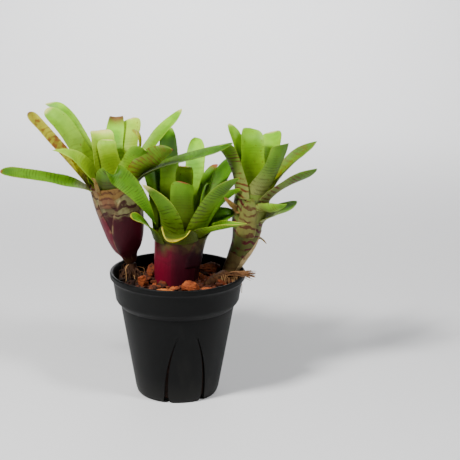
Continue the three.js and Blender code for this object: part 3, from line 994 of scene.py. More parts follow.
    def build(self) -> Item:
        """Turns the pot, cuts its slits and dresses it.

        Returns:
            The pot.
        """
        builder = Builder()
        builder.lathe(self.profile(), self.sides)
        plastic = PotFinish().material("charcoal plastic")
        piece = builder.finish("slit_pot", plastic, "pot_plastic", ["pot"], self.crease)
        helper = self.cutter()
        cut = piece.modifiers.new("slits", "BOOLEAN")
        cut.operation = "DIFFERENCE"
        cut.solver = "EXACT"
        cut.object = helper
        bpy.context.view_layer.update()
        seen = piece.evaluated_get(bpy.context.evaluated_depsgraph_get())
        mesh = bpy.data.meshes.new_from_object(seen)
        piece.modifiers.remove(cut)
        piece.data = mesh
        mesh.set_sharp_from_angle(angle=math.radians(self.crease))
        bpy.data.objects.remove(helper)
        return piece


def bed_rise(x: float, y: float) -> float:
    """How far two crossed waves lift the bark's top over its mean height."""
    return 1.3 * math.sin(0.31 * x + 1.3) * math.cos(0.27 * y) + 0.8 * math.sin(0.53 * x - 0.41 * y)


@dataclass
class Chip:
    """One piece of bark: a ball clamped by planes, roughened and turned."""

    centre: Vector
    halves: Vector
    turn: Matrix
    planes: Sequence[Tuple[Vector, float]]
    tone: float
    rough: float

    def shape(self, spot: Vector) -> Vector:
        """Finds where a point of the unit ball goes.

        Args:
            spot: the point.

        Returns:
            Its place on the chip.
        """
        for normal, reach in self.planes:
            beyond = spot.dot(normal) - reach
            if beyond > 0:
                spot = spot - normal * beyond
        key = self.centre * 0.37
        layers = noise.noise(Vector((spot.x * 1.5, spot.y * 1.5, spot.z * 7)) + key)
        crumbs = noise.noise(spot * 5 + key)
        spot = spot * (1 + self.rough * (0.9 * layers + 0.6 * crumbs))
        return self.turn @ (spot * self.halves) + self.centre

    def add(self, builder: Builder, cuts: int) -> None:
        """Adds the chip to a mesh, as a block of that fineness."""
        builder.mark(builder.stone(cuts, self.shape), "tone", self.tone)


@dataclass
class BarkBed:
    """The fill of coarse orchid bark: a dark heap covered with loose chips.

    Attributes:
        keep_clear: circles without chips, each as its middle and radius.
        halves: the range of a chip's half size along each of its axes.
        leans: the range of its turn about each axis, in radians.
        shade: how much darker the chips are in the shade at the left.
    """

    chips: int = 330
    reach: float = 40.0
    keep_clear: Sequence[Point] = ((-1, 0, 13.2), (33, 10, 4.2), (-32, 6, 3.4))
    halves: Sequence[Pair] = ((3.2, 6.2), (2.2, 4.0), (1.1, 2.2))
    tones: Sequence[float] = (0.2, 0.28, 0.36, 0.44, 0.5, 0.58, 0.7)
    leans: Sequence[Pair] = ((-0.6, 0.6), (-0.6, 0.6), (0, math.tau))
    lift: Pair = (-0.6, 2.0)
    shade: float = 0.34
    sides: int = 72
    seed: int = 21

    def profile(self) -> List[Pair]:
        """Lists the heap's outline, as points of radius and height.

        Returns:
            The outline from the axis below to the axis above.
        """
        inner = WALL + BED_CLEARANCE
        collar = COLLAR_LOW_RADIUS - inner
        top = [(radius, BED_TOP) for radius in (collar, 38, 34, 30, 26, 22, 18, 14, 10, 5, 0)]
        return [
            (0, FLOOR + 0.3), (FOOT_RADIUS - 1.8 - inner, FLOOR + 0.3), (FOOT_RADIUS + 0.6 - inner, 4.8),
            (SHOULDER_RADIUS - inner, SHOULDER + 0.3), (STEP_RADIUS - inner, SHOULDER + 2.5),
            (collar, COLLAR_LOW + 0.3), (collar + 1, BED_TOP - 3), *top,
        ]

    def loose(self, draws: random.Random) -> Iterable[Chip]:
        """Scatters the chips over the heap.

        Args:
            draws: the source of random numbers.

        Returns:
            The chips, one by one.
        """
        for k in range(self.chips):
            distance = self.reach * math.sqrt((k + 0.5) / self.chips)
            angle = k * GOLDEN_ANGLE + draws.uniform(-0.2, 0.2)
            x, y = distance * math.cos(angle), distance * math.sin(angle)
            size = draws.uniform(0.55, 1.0)
            halves = Vector([draws.uniform(*limits) for limits in self.halves]) * size
            turn = turned([draws.uniform(*limits) for limits in self.leans])
            planes = [
                (Vector([draws.uniform(-1, 1) for _ in range(3)]).normalized(), draws.uniform(0.5, 0.85))
                for _ in range(6)
            ]
            tone = draws.choice(self.tones) - self.shade * smooth(-14, -32, x)
            lift = draws.uniform(*self.lift)
            if any(math.hypot(x - cx, y - cy) < radius for cx, cy, radius in self.keep_clear):
                continue
            if distance + halves.x > self.reach + 1.2:
                halves = halves * 0.62
            centre = Vector((x, y, BED_TOP + bed_rise(x, y) + lift))
            yield Chip(centre, halves, turn, planes, tone, rough=0.12)

    def build(self, material: Material) -> Item:
        """Builds the heap with its chips.

        Args:
            material: the bark's finish.

        Returns:
            The bed.
        """
        builder = Builder(["tone"])
        heap = builder.lathe(self.profile(), self.sides)
        for vert in heap:
            x, y, z = vert.co
            if z > BED_TOP - 1:
                coarse = noise.noise(Vector((x, y, 0)) * 0.35) * 1.1
                fine = noise.noise(Vector((x, y, 9)) * 0.9) * 0.5
                vert.co.z += bed_rise(x, y) + (coarse + fine) - 0.6
        builder.mark(heap, "tone", 0.08)
        for chip in self.loose(random.Random(self.seed)):
            chip.add(builder, cuts=1)
        return builder.finish("bark_fill", material, "bark_brown", ["bark_bed"], crease=38)


@dataclass(frozen=True)
class Chunk:
    """One of the large pieces of bark: its node, middle, half sizes, turns in degrees and tone."""

    name: str
    centre: Point
    halves: Point
    turns: Point
    tone: float
    slot: str

    PLANES = 7
    PLANE_REACH = (0.68, 0.86)
    CUTS = 24

    def build(self, order: int, material: Material) -> Item:
        """Builds the piece with the same flat sides as its solid.

        Args:
            order: its place in the list, which seeds its sides.
            material: the bark's finish.

        Returns:
            The piece.
        """
        draw = hash_draws(order)
        planes = []
        for _ in range(self.PLANES):
            normal = Vector((draw() - 0.5, draw() - 0.5, draw() - 0.5)).normalized()
            planes.append((normal, blend(*self.PLANE_REACH, draw())))
        turn = turned(math.radians(degrees) for degrees in self.turns)
        builder = Builder(["tone"])
        chip = Chip(Vector(self.centre), Vector(self.halves), turn, planes, self.tone, rough=0.1)
        chip.add(builder, self.CUTS)
        node = f"bark_chunk_{self.name}"
        return builder.finish(f"{self.name}_piece", material, self.slot, [node], crease=40)


CHUNKS = (
    Chunk("front_large", (9, -24, 81), (7.5, 5, 4.6), (10, 18, 20), 0.66, "bark_orange"),
    Chunk("front_tan", (-7, -33.5, 80.5), (7, 3.6, 3), (-6, 4, 4), 0.85, "bark_tan"),
    Chunk("front_right", (22, -30, 80.4), (5.6, 4, 3.2), (-8, 10, -24), 0.7, "bark_orange"),
    Chunk("left_orange", (-23, -12, 81), (3.6, 4.6, 5.2), (14, -16, 24), 0.62, "bark_orange"),
    Chunk("left_small", (-31, -23, 79.5), (3.6, 3.4, 2.8), (0, 20, 60), 0.5, "bark_brown"),
    Chunk("beside_tube", (-18.5, 3, 83), (2.8, 5, 6.4), (-6, 8, 10), 0.5, "bark_brown"),
    Chunk("back_right", (21, 22, 80.5), (8.5, 5.5, 4.4), (8, -6, -12), 0.46, "bark_brown"),
    Chunk("back", (-4, 31, 80), (6.5, 5, 3.6), (6, 8, 40), 0.6, "bark_orange"),
)


@dataclass
class RootMass:
    """Shared ways to build wiry roots on a woody stub."""

    builder: Builder = field(default_factory=lambda: Builder(["tone"]))

    STUB_SIDES = 20
    KNOBS = 0.45
    WIRE_STEPS = 12
    WIRE_SIDES = 6

    def stub(self, points: Sequence[Point], girth: Sequence[Pair], tone: float) -> None:
        """Adds a woody stub.

        Args:
            points: where its middle line runs.
            girth: points of radius and distance along it.
            tone: how light it is.
        """
        verts = self.builder.bent_tube(Spline(points), [(0, 0), *girth], self.STUB_SIDES)
        for vert in verts:
            vert.co += vert.co.normalized() * (self.KNOBS * noise.noise(vert.co * 0.7))
        self.builder.mark(verts, "tone", tone)

    def wire(self, points: Sequence[Sequence[float]], thick: float, thin: float, tone: float) -> None:
        """Adds one root.

        Args:
            points: where it runs.
            thick: its radius where it starts.
            thin: its radius at its end.
            tone: how light it is.
        """
        curve = Spline(points)
        shares = [k / self.WIRE_STEPS for k in range(self.WIRE_STEPS + 1)]
        profile = [(blend(thick, thin, share), curve.length * share) for share in shares]
        verts = self.builder.bent_tube(curve, [(0, 0), *profile, (0, curve.length)], self.WIRE_SIDES)
        self.builder.mark(verts, "tone", tone)


@dataclass
class LeftRoots(RootMass):
    """The left plant's stub, with a cage of curly roots that dive into the bark."""

    head: Point = (-32, 6, 89)
    foot: Point = (-31.5, 5, 76)
    girth: Sequence[Pair] = ((3.2, 0), (3.9, 7), (3.4, 12.6), (0, 12.8))
    bark_height: float = 80
    buried: float = 73
    wires: int = 8
    wire_reach: Pair = (5.5, 9)
    wire_top: Pair = (82, 87)
    curls: int = 90
    curl_top: Pair = (81, 88.6)
    curl_reach: Pair = (3, 9)
    curl_belly: Pair = (0.4, 1.1)
    curl_swirl: Pair = (-4, 4)
    curl_radius: Pair = (0.16, 0.36)
    curl_tones: Sequence[float] = (0.15, 0.3, 0.3, 0.5, 0.7, 0.95)
    seeds: Tuple[int, int] = (11, 4)

    def build(self, material: Material) -> Item:
        """Builds the roots.

        Args:
            material: the roots' finish.

        Returns:
            The piece.
        """
        self.stub([self.foot, self.head], self.girth, tone=0.3)
        draw = hash_draws(self.seeds[0])
        for k in range(self.wires):
            angle = ((k + 0.6 * draw()) / self.wires) * math.tau
            out = blend(*self.wire_reach, draw())
            top = blend(*self.wire_top, draw())
            route = self.route(angle, out, top, belly=0.7, swirl=2.0 * draw() - 1)
            self.wire(route, thick=0.55, thin=0.35, tone=0.35)
        draws = random.Random(self.seeds[1])
        for _ in range(self.curls):
            angle = draws.uniform(0, math.tau)
            top = draws.uniform(*self.curl_top)
            out = draws.uniform(*self.curl_reach)
            belly = draws.uniform(*self.curl_belly)
            route = self.route(angle, out, top, belly, draws.uniform(*self.curl_swirl))
            thick = draws.uniform(*self.curl_radius)
            self.wire(route, thick, 0.5 * thick, draws.choice(self.curl_tones))
        return self.builder.finish("left_root_cage", material, "root_brown", ["left_roots"], crease=50)

    def route(self, angle: float, out: float, top: float, belly: float, swirl: float) -> List[Point]:
        """Lists the points that a root passes.

        Args:
            angle: the way it leaves the stub, in radians.
            out: how far it reaches.
            top: the height where it leaves.
            belly: the share of the reach at which it turns down.
            swirl: how far it wanders sideways.

        Returns:
            The points, down into the bark.
        """
        x, y, _ = self.head
        cosine, sine = math.cos(angle), math.sin(angle)
        stations = (
            (2, 0, top), (belly * out, 0.6 * swirl, top - 1.5), (out, swirl, self.bark_height),
            (out + 0.6, 0.3 * swirl, self.buried),
        )
        return [
            (x + distance * cosine - side * sine, y + distance * sine + side * cosine, height)
            for distance, side, height in stations
        ]


@dataclass
class RightRoots(RootMass):
    """The right plant's creeping rhizome, its roots, and the tuft of fibre over the rim."""

    rhizome: Sequence[Point] = ((36, 11, 76), (32, 5, 80.5), (25, -3, 80.4), (18, -9, 78))
    girth: Sequence[Pair] = ((4.2, 0), (4.3, 9), (3.2, 19), (1.6, 27), (0, 28))
    wires: int = 4
    tuft_wires: int = 6
    fibres: int = 44
    fibre_shift: Sequence[Pair] = ((-1.6, 0.6), (-2.2, 2.2), (-1.4, 1.0))
    fibre_spread: Sequence[float] = (0.4, 0.9, 1.0, 1.3)
    fibre_radius: Pair = (0.14, 0.34)
    fibre_tones: Sequence[float] = (0.35, 0.5, 0.65, 0.8)
    curls: int = 22
    curl_x: Pair = (24, 42)
    curl_y: Pair = (-2, 6)
    curl_reach: Pair = (5, 11)
    curl_side: Pair = (-2.5, 2.5)
    curl_radius: Pair = (0.22, 0.42)
    curl_tones: Sequence[float] = (0.55, 0.75, 0.95)
    seeds: Tuple[int, int] = (5, 8)

    def build(self, material: Material) -> Item:
        """Builds the rhizome and its roots.

        Args:
            material: the roots' finish.

        Returns:
            The piece.
        """
        self.stub(self.rhizome, self.girth, tone=0.42)
        draw = hash_draws(self.seeds[0])
        for k in range(self.wires):
            x = blend(28, 36, k / (self.wires - 1))
            bend = (x + 1, -3 - 2 * draw(), 81.5)
            fall = (x + 1.5, -7 - 2 * draw(), 79)
            self.wire([(x, 4, 80), bend, fall, (x + 1.5, -9, 73)], thick=0.7, thin=0.5, tone=0.7)
        tuft = []
        for k in range(self.tuft_wires):
            spread = k / (self.tuft_wires - 1) - 0.5
            start = (33 + 3 * spread, 4, 81 + 0.4 * draw())
            over = (42, -13 + 5 * spread, 87.6 + draw())
            end = (blend(48.5, 52.5, draw()), -18 + 8 * spread, blend(87.6, 91, draw()))
            tuft.append((start, (37.5, -7 + 3 * spread, 86), over, end))
            self.wire(tuft[-1], thick=0.9, thin=0.45, tone=0.5)
        self.add_fibres(tuft, random.Random(self.seeds[1]))
        return self.builder.finish("right_rhizome", material, "root_brown", ["right_roots"], crease=50)

    def add_fibres(self, tuft: Sequence[Sequence[Point]], draws: random.Random) -> None:
        """Adds fine fibres beside the tuft's stout ones, and curls under the stem.

        Args:
            tuft: the routes of the stout fibres.
            draws: the source of random numbers.
        """
        for _ in range(self.fibres):
            route = draws.choice(tuft)
            shift = Vector([draws.uniform(*limits) for limits in self.fibre_shift])
            moved = [Vector(point) + shift * share for point, share in zip(route, self.fibre_spread)]
            thick = draws.uniform(*self.fibre_radius)
            self.wire(moved, thick, 0.35 * thick, draws.choice(self.fibre_tones))
        for _ in range(self.curls):
            x, y = draws.uniform(*self.curl_x), draws.uniform(*self.curl_y)
            out, side = draws.uniform(*self.curl_reach), draws.uniform(*self.curl_side)
            end = (x + side, y - out)
            curl = [(x, y, 81), (x + 0.4 * side, y - 0.5 * out, 83), (*end, 80), (*end, 74)]
            thick = draws.uniform(*self.curl_radius)
            self.wire(curl, thick, 0.5 * thick, draws.choice(self.curl_tones))


@dataclass(frozen=True)
class Sheath:
    """One sheath that wraps a tube.

    Attributes:
        azimuth: the way it faces, in degrees from the front.
        low: the distance up the tube where it starts.
        top: the distance where it ends.
        wrap: its half angle at the lower end.
        neck: its half angle at the top.
        skin: its colour.
        lift: how far its outer face stands off the tube.
        papery: how dry it is, from 0 to 1.
    """

    azimuth: float
    low: float
    top: float
    wrap: float
    neck: float
    skin: str
    lift: float = 0.5
    papery: float = 0.0


@dataclass
class SheathTube:
    """A tube of wrapped sheaths, on a curved axis, with a shallow cup at the crown.

    Attributes:
        radii: its girth, as points of radius and distance.
        flare: how far the leaves lean out as they leave the crown, in degrees.
        blush_and_light: a crimson that one side of it takes, or none: partly the sheaths' own colour,
            partly painted light on the side that the key lamp lights.
        blush_width: the angles where that blush and painted light starts to fade and has gone.
        cup: the crown, as shares of the last radius and heights.
    """

    name: str
    node: str
    slot: str
    axis: Sequence[Point]
    radii: Sequence[Pair]
    flare: float
    skin: str
    finish: SheathFinish
    sheaths: Sequence[Sheath]
    blush_and_light: str = ""
    blush_azimuth: float = -80.0
    blush_width: Pair = (35.0, 88.0)
    sides: int = 96
    rings: int = 60
    cup: Sequence[Pair] = ((0.86, 0.4), (0.6, -3.5), (0.34, -8), (0, -9))

    SHEATH_FACES = (28, 40)
    SWELL = 0.25
    INNER_DEPTH = 0.25
    MARGIN = (7, 2)

    def __post_init__(self) -> None:
        """Works out the axis, the girth and where the crown is."""
        self.curve = Spline(self.axis)
        crown, listed = self.radii[-1]
        self.top = min(listed, self.curve.length)
        points = [(radius, distance, 0) for radius, distance in (*self.radii[:-1], (crown, self.top))]
        self.girth = Spline(points)
        self.start = self.curve.at(0)
        self.direction = (self.curve.at(1) - self.start).normalized()

    def radius(self, distance: float) -> float:
        """Finds the tube's radius at a distance up its axis.

        Args:
            distance: the distance.

        Returns:
            The radius there.
        """
        samples = self.girth.samples
        for low, high in zip(samples, samples[1:]):
            if low.y <= distance <= high.y:
                span = high.y - low.y
                return blend(low.x, high.x, (distance - low.y) / span if span else 0)
        return samples[-1].x if distance > samples[-1].y else samples[0].x

    def outward(self, share: float, azimuth: float) -> Vector:
        """The level direction that an azimuth, in degrees from the front, has at a share of the length."""
        _, _, front, right = self.curve.frame(share)
        return front * math.cos(math.radians(azimuth)) + right * math.sin(math.radians(azimuth))

    def tinted(self, colour: Colour, azimuth: float) -> Colour:
        """Mixes the tube's blush into a colour where it is due: partly the sheaths' own crimson, partly
        painted light on the lit side.

        Args:
            colour: the sheath's own colour.
            azimuth: where the point lies, in degrees from the front.

        Returns:
            The colour there.
        """
        if not self.blush_and_light:
            return colour
        share = 1 - smooth(*self.blush_width, apart(azimuth, self.blush_azimuth))
        mixed = [blend(own, tint, share) for own, tint in zip(colour, paint(self.blush_and_light))]
        return (mixed[0], mixed[1], mixed[2], 1.0)

    def build(self) -> Item:
        """Builds the tube with its sheaths.

        Returns:
            The piece.
        """
        builder = Builder(["rise", "papery", "margin"], skin=True)
        crown = self.girth.samples[-1].x
        distances = [self.top * k / self.rings for k in range(self.rings)]
        wall = [(self.radius(distance), distance) for distance in distances]
        cup = [(share * crown, self.top + height) for share, height in self.cup]
        verts = builder.bent_tube(self.curve, [(0, 0), *wall, (crown, self.top), *cup], self.sides)
        for vert in verts:
            rise, _ = self.dye(builder, vert, self.skin)
            outward = (vert.co - self.curve.frame(rise)[0]).normalized()
            vert.co += outward * (self.SWELL * noise.noise(vert.co * 0.12))
        for sheath in self.sheaths:
            self.wrap(builder, sheath)
        skin = self.finish.material(f"{self.name} skin")
        return builder.finish(self.name, skin, self.slot, [self.node], crease=40)

    def dye(self, builder: Builder, vert: Vert, skin: str) -> Pair:
        """Writes a vertex's height on the tube and its colour.

        Args:
            builder: the tube's mesh.
            vert: the vertex.
            skin: its colour, without the blush.

        Returns:
            The height, as a share of the tube, and the azimuth in degrees from the front.
        """
        rise = clamp((vert.co - self.start).dot(self.direction) / self.top)
        centre, _, front, right = self.curve.frame(rise)
        spoke = vert.co - centre
        azimuth = math.degrees(math.atan2(spoke.dot(right), spoke.dot(front)))
        vert[builder.layers["rise"]] = rise
        vert[builder.skin] = self.tinted(paint(skin), azimuth)
        return rise, azimuth

    def wrap(self, builder: Builder, sheath: Sheath) -> None:
        """Adds one sheath to the tube.

        Args:
            builder: the tube's mesh.
            sheath: the sheath.
        """
        for vert in builder.sheet(*self.SHEATH_FACES, partial(self.spot, sheath)):
            rise, azimuth = self.dye(builder, vert, sheath.skin)
            along = clamp((rise * self.top - sheath.low) / (sheath.top - sheath.low))
            half = blend(sheath.wrap, sheath.neck, along * along)
            starts, full = (half - inset for inset in self.MARGIN)
            vert[builder.layers["papery"]] = sheath.papery
            vert[builder.layers["margin"]] = smooth(starts, full, apart(azimuth, sheath.azimuth))

    def spot(self, sheath: Sheath, across: float, along: float, outer: bool) -> Vector:
        """Finds where a point of a sheath's sheet goes.

        Args:
            sheath: the sheath.
            across: from -1 to 1.
            along: from 0 to 1.
            outer: whether it is on the outer face.

        Returns:
            The point.
        """
        distance = blend(sheath.low, sheath.top, along)
        share = clamp(distance / self.curve.length)
        wobble = 1 + 0.06 * noise.noise(Vector((sheath.azimuth, along * 3, across)))
        half = blend(sheath.wrap, sheath.neck, along * along) * wobble
        shell = sheath.lift * (1 - 0.7 * abs(across) ** 8) * smooth(0, 0.12, along)
        radius = self.radius(distance) + (shell + 0.05 if outer else -self.INNER_DEPTH)
        past_end = distance - share * self.curve.length
        centre = self.curve.at(share) + self.curve.heading(share) * past_end
        return centre + self.outward(share, sheath.azimuth + across * half) * radius


@dataclass(frozen=True)
class Leaf:
    """One leaf: how it leaves the crown, and the points that its midrib passes.

    Attributes:
        name: the leaf's name within its rosette.
        azimuth: the way it leaves the crown, in degrees from the front.
        ring: how far its root lies from the crown's middle.
        height: the root's height over the crown.
        width: the blade's width.
        middle: the point that the midrib passes halfway.
        tip: the point where it ends.
        tone: its basic colour.
        marks: what else is only colour.
        point: how pointed the tip is, from 0 to 1.
        taper: the share of the length where the tip starts to taper.
        cup: how strongly the blade is channelled.
        twist: how far the tip turns about the midrib, in degrees.
        settle: the share of the length by which the blade has turned that far.
        lift: how far the midrib follows the sheath before it bends.
        curl: how strongly the margins roll in at the tip.
    """

    name: str
    azimuth: float
    ring: float
    height: float
    width: float
    middle: Point
    tip: Point
    tone: Tone = Tone.GREEN
    marks: Marks = Marks()
    point: float = 0.3
    taper: float = 0.55
    cup: float = 0.55
    twist: float = 0.0
    settle: float = 1.0
    lift: float = 0.35
    curl: float = 0.0


class Blade:
    """The finished form of a leaf on its crown."""

    ROWS = 52
    COLUMNS = 14
    THICKNESS = 0.8
    ROOT_SPREAD = 1.5
    TIP_HALF_WIDTH = 0.2
    TOOTH = 0.16
    RIPPLE = 0.3
    SWAY = 0.035
    EASE = 0.75

    def __init__(self, leaf: Leaf, tube: SheathTube, seed: int) -> None:
        """Works out the midrib.

        Args:
            leaf: the leaf.
            tube: the tube whose crown it grows from.
            seed: makes its small irregularities its own.
        """
        self.leaf, self.seed = leaf, seed
        centre, axis, _, _ = tube.curve.frame(1)
        outward = tube.outward(1, leaf.azimuth)
        root = centre + axis * leaf.height + outward * leaf.ring
        flare = math.radians(tube.flare)
        direction = axis * math.cos(flare) + outward * math.sin(flare)
        middle, tip = Vector(leaf.middle), Vector(leaf.tip)
        bowed = (4 * middle - tip) / 3
        rise = bowed.lerp(root + direction * (bowed - root).length, leaf.lift)
        bend = (8 * middle - root - 3 * rise - tip) / 3
        self.points = (root, rise, bend, tip)
        self.across = axis.cross(outward)

    def midrib(self, t: float) -> Tuple[Vector, Vector]:
        """The midrib's point and heading at a share of its length.

        Args:
            t: the share.

        Returns:
            The point, and the direction of travel.
        """
        a, b, c, d = self.points
        u = 1 - t
        point = a * u ** 3 + b * (3 * u * u * t) + c * (3 * u * t * t) + d * t ** 3
        heading = (b - a) * (3 * u * u) + (c - b) * (6 * u * t) + (d - c) * (3 * t * t)
        return point, heading.normalized()

    def half_width(self, t: float) -> float:
        """Finds half of the blade's width at a share of its length.

        Args:
            t: the share.

        Returns:
            The half width.
        """
        taper = clamp((t - self.leaf.taper) / (1 - self.leaf.taper))
        rounded = math.sqrt(max(0.0, 1 - taper ** 2.4))
        acute = 1 - taper ** 1.6
        body = self.leaf.width / 2 * blend(self.ROOT_SPREAD, 1, smooth(0, 0.5, t))
        sway = 1 + self.SWAY * noise.noise(Vector((t * 4, self.seed, 0)))
        return max(self.TIP_HALF_WIDTH, body * sway * blend(rounded, acute, self.leaf.point))

    def place(self, across: float, along: float, under: bool) -> Vector:
        """Finds where a point of the leaf's sheet goes.

        Args:
            across: from -1 to 1.
            along: from 0 to 1.
            under: whether it is on the underside.

        Returns:
            The point.
        """
        t = blend(along, math.sin(math.pi / 2 * along), self.EASE)
        leaf, broad = self.leaf, self.leaf.width / 2
        centre, forward = self.midrib(t)
        side = (self.across - forward * self.across.dot(forward)).normalized()
        side = Quaternion(forward, math.radians(leaf.twist) * smooth(0, leaf.settle, t)) @ side
        upper = forward.cross(side)
        bend = blend(1 / leaf.ring, leaf.cup / broad, smooth(0, 0.6, t))
        bend += leaf.curl / broad * smooth(0.6, 1, t)
        odd_row = round(along * self.ROWS) % 2
        tooth = self.TOOTH if abs(across) > 0.99 and odd_row and 0.12 < t < 0.97 else 0.0
        angle = bend * (self.half_width(t) + tooth) * across
        thinned = blend(1, 0.35, abs(across) ** 3) * blend(1, 0.6, smooth(0.75, 1, t))
        depth = self.THICKNESS / 2 * thinned * (-1 if under else 1)
        ruffle = noise.noise(Vector((t * 7, self.seed, across * 0.8))) * across * across
        ripple = self.RIPPLE * ruffle * smooth(0.1, 0.4, t)
        point = centre + side * (math.sin(angle) / bend) + upper * ((1 - math.cos(angle)) / bend)
        facing = upper * math.cos(angle) - side * math.sin(angle)
        return point + facing * (ripple + depth)

    def build(self, rosette: str) -> Item:
        """Builds the blade and dresses it.

        Args:
            rosette: the name of its plant.

        Returns:
            The piece.
        """
        builder = Builder(["underside"], blade=True)
        verts = builder.sheet(self.COLUMNS, self.ROWS, self.place)
        half = len(verts) // 2
        builder.mark(verts[half:], "underside", 1.0)
        leaf = self.leaf
        name = f"{rosette}_{leaf.name}_blade"
        skin = LeafFinish(leaf.tone, leaf.marks, self.seed).material(f"{name} skin")
        return builder.finish(name, skin, leaf.tone.value[-1], [f"{rosette}_leaf_{leaf.name}"], crease=70)


@dataclass
class Rosette:
    """One plant: its tube of sheaths and its leaves."""

    name: str
    tube: SheathTube
    leaves: Sequence[Leaf]

    def build(self) -> List[Item]:
        """Builds the tube and every leaf.

        Returns:
            The pieces.
        """
        pieces = [self.tube.build()]
        for k, leaf in enumerate(self.leaves):
            pieces.append(Blade(leaf, self.tube, 3 * k + len(self.name)).build(self.name))
        return pieces


OUTER = Marks(bands=0.5, reach=0.8, base=Base.OLIVE)
MOTTLED = Marks(bands=0.5, reach=0.8, base=Base.MOTTLED)
PLAIN = Marks(bands=0.2, reach=0.6, edge=0)
# base_reach 0.8 paints shade over the lower blade, on top of the leaves' own base colour.
PALE_TIP = replace(PLAIN, tip=Tip.PALE, tip_length=0.2, base_reach=0.8)
DRY = Marks(bands=0.6, reach=0.9, edge=0, tip=Tip.BROWN, tip_length=0.3, blotch=0.6, base=Base.DRY)
RED_BANDS = Marks(bands=0.75, lines=15, reach=0.95, band=Band.RED, base=Base.MOTTLED)

LEFT_LEAVES = (
    Leaf("low_long", -77, 16.9, -1, 9, (-85, -8, 150.5), (-116, -14, 156), Tone.GREEN,
         replace(MOTTLED, bands=0.55, lines=32, reach=1.1, edge=0.3, tip=Tip.RED, tip_length=0.1,
                 base_reach=0.12),
         point=0.2, taper=0.85, twist=-38, settle=0.4, lift=0.1),
    Leaf("yellow", -97, 16.9, -1, 7.6, (-77.5, 6, 166.5), (-100, 10, 191), Tone.YELLOW,
         replace(RED_BANDS, bands=0.5, lines=20, blotch=0.85, edge=0.5, tip=Tip.BROWN, tip_length=0.1,
                 base_reach=0.12),
         point=0, taper=0.9, twist=-45, settle=0.6),
    Leaf("short_forward", -84, 12, -3, 12, (-64, -9, 163), (-81, -16, 171), Tone.FRESH,
         replace(PLAIN, edge=0.2), point=1, taper=0.3, twist=-40, settle=0.5, lift=0.3),
    Leaf("front_arching", -6, 14.5, -1, 14, (-36.5, -18, 154), (-14, -15, 122), Tone.GREEN,
         replace(OUTER, bands=0.6, lines=38, reach=1.3, base_reach=0.1), point=0.9, twist=-12, lift=1.1),
    Leaf("long_reach", 84, 16.9, -1, 12, (2, -5, 163), (36, -4, 175), Tone.DEEP, OUTER, twist=20),
    Leaf("broad_behind", -127, 16.9, -1, 11.5, (-72.5, 33, 177), (-94, 56, 189), Tone.PALE, PALE_TIP,
         point=0.1, taper=0.8, lift=0.15),
    Leaf("dried_stub", -36, 17.2, -2, 3, (-54, -13, 149), (-56, -15, 152.5), Tone.DRIED, DRY),
    Leaf("back_low", 172, 16.9, -2, 14, (-48, 42, 159), (-52, 64, 165), Tone.DEEP, OUTER),
    Leaf("back_curled", -172, 14.5, -3, 13, (-45, 32, 168), (-44, 46, 182), Tone.PALE,
         replace(PLAIN, tip=Tip.BROWN, tip_length=0.5), point=0, taper=0.85, curl=0.9),
    Leaf("back_round", 156, 14.5, -3, 18, (-35, 31, 168), (-33, 44, 182), Tone.BRIGHT, PALE_TIP, taper=0.7),
    Leaf("broad_upper", -108, 14, -3, 13.5, (-71.5, 14, 172.5), (-90.5, 24, 190.5), Tone.LIME, PALE_TIP,
         point=0.1, taper=0.75, twist=-36, settle=0.5),
    Leaf("right_raised", 116, 14.5, -3, 13.5, (-16, 20, 171), (1, 36, 190), Tone.PALE, PALE_TIP,
         point=0.6, twist=20),
    Leaf("right_banded", 63, 14, -3, 14, (-17, -8, 165), (-3, -14, 172), Tone.GREEN,
         replace(RED_BANDS, bands=0.5, lines=24, blotch=0.3, base=Base.INNER, tip=Tip.RED, tip_length=0.12),
         point=0.8, taper=0.45, twist=-75, settle=0.5),
    Leaf("front_lime", 45, 11.2, -4, 15, (-29, -6, 162), (-21, -10, 171), Tone.LIME,
         replace(PLAIN, tip=Tip.PALE), taper=0.6, twist=-50, settle=0.5),
    # Its pale tip over 0.4 of the length is partly painted highlight.
    Leaf("cup", -150, 11, -5, 17, (-51, 12, 166), (-53, 18, 178), Tone.BRIGHT,
         replace(PALE_TIP, tip_length=0.4), point=0, taper=0.75),
    Leaf("narrow", 112, 10.5, -5, 7, (-25, 4, 170), (-31, 6, 181), Tone.YELLOW, PLAIN, twist=-40),
    Leaf("heart", 170, 8, -7, 14, (-46, 9, 162), (-47, 11, 173), Tone.FRESH, PALE_TIP, point=0, taper=0.75),
)

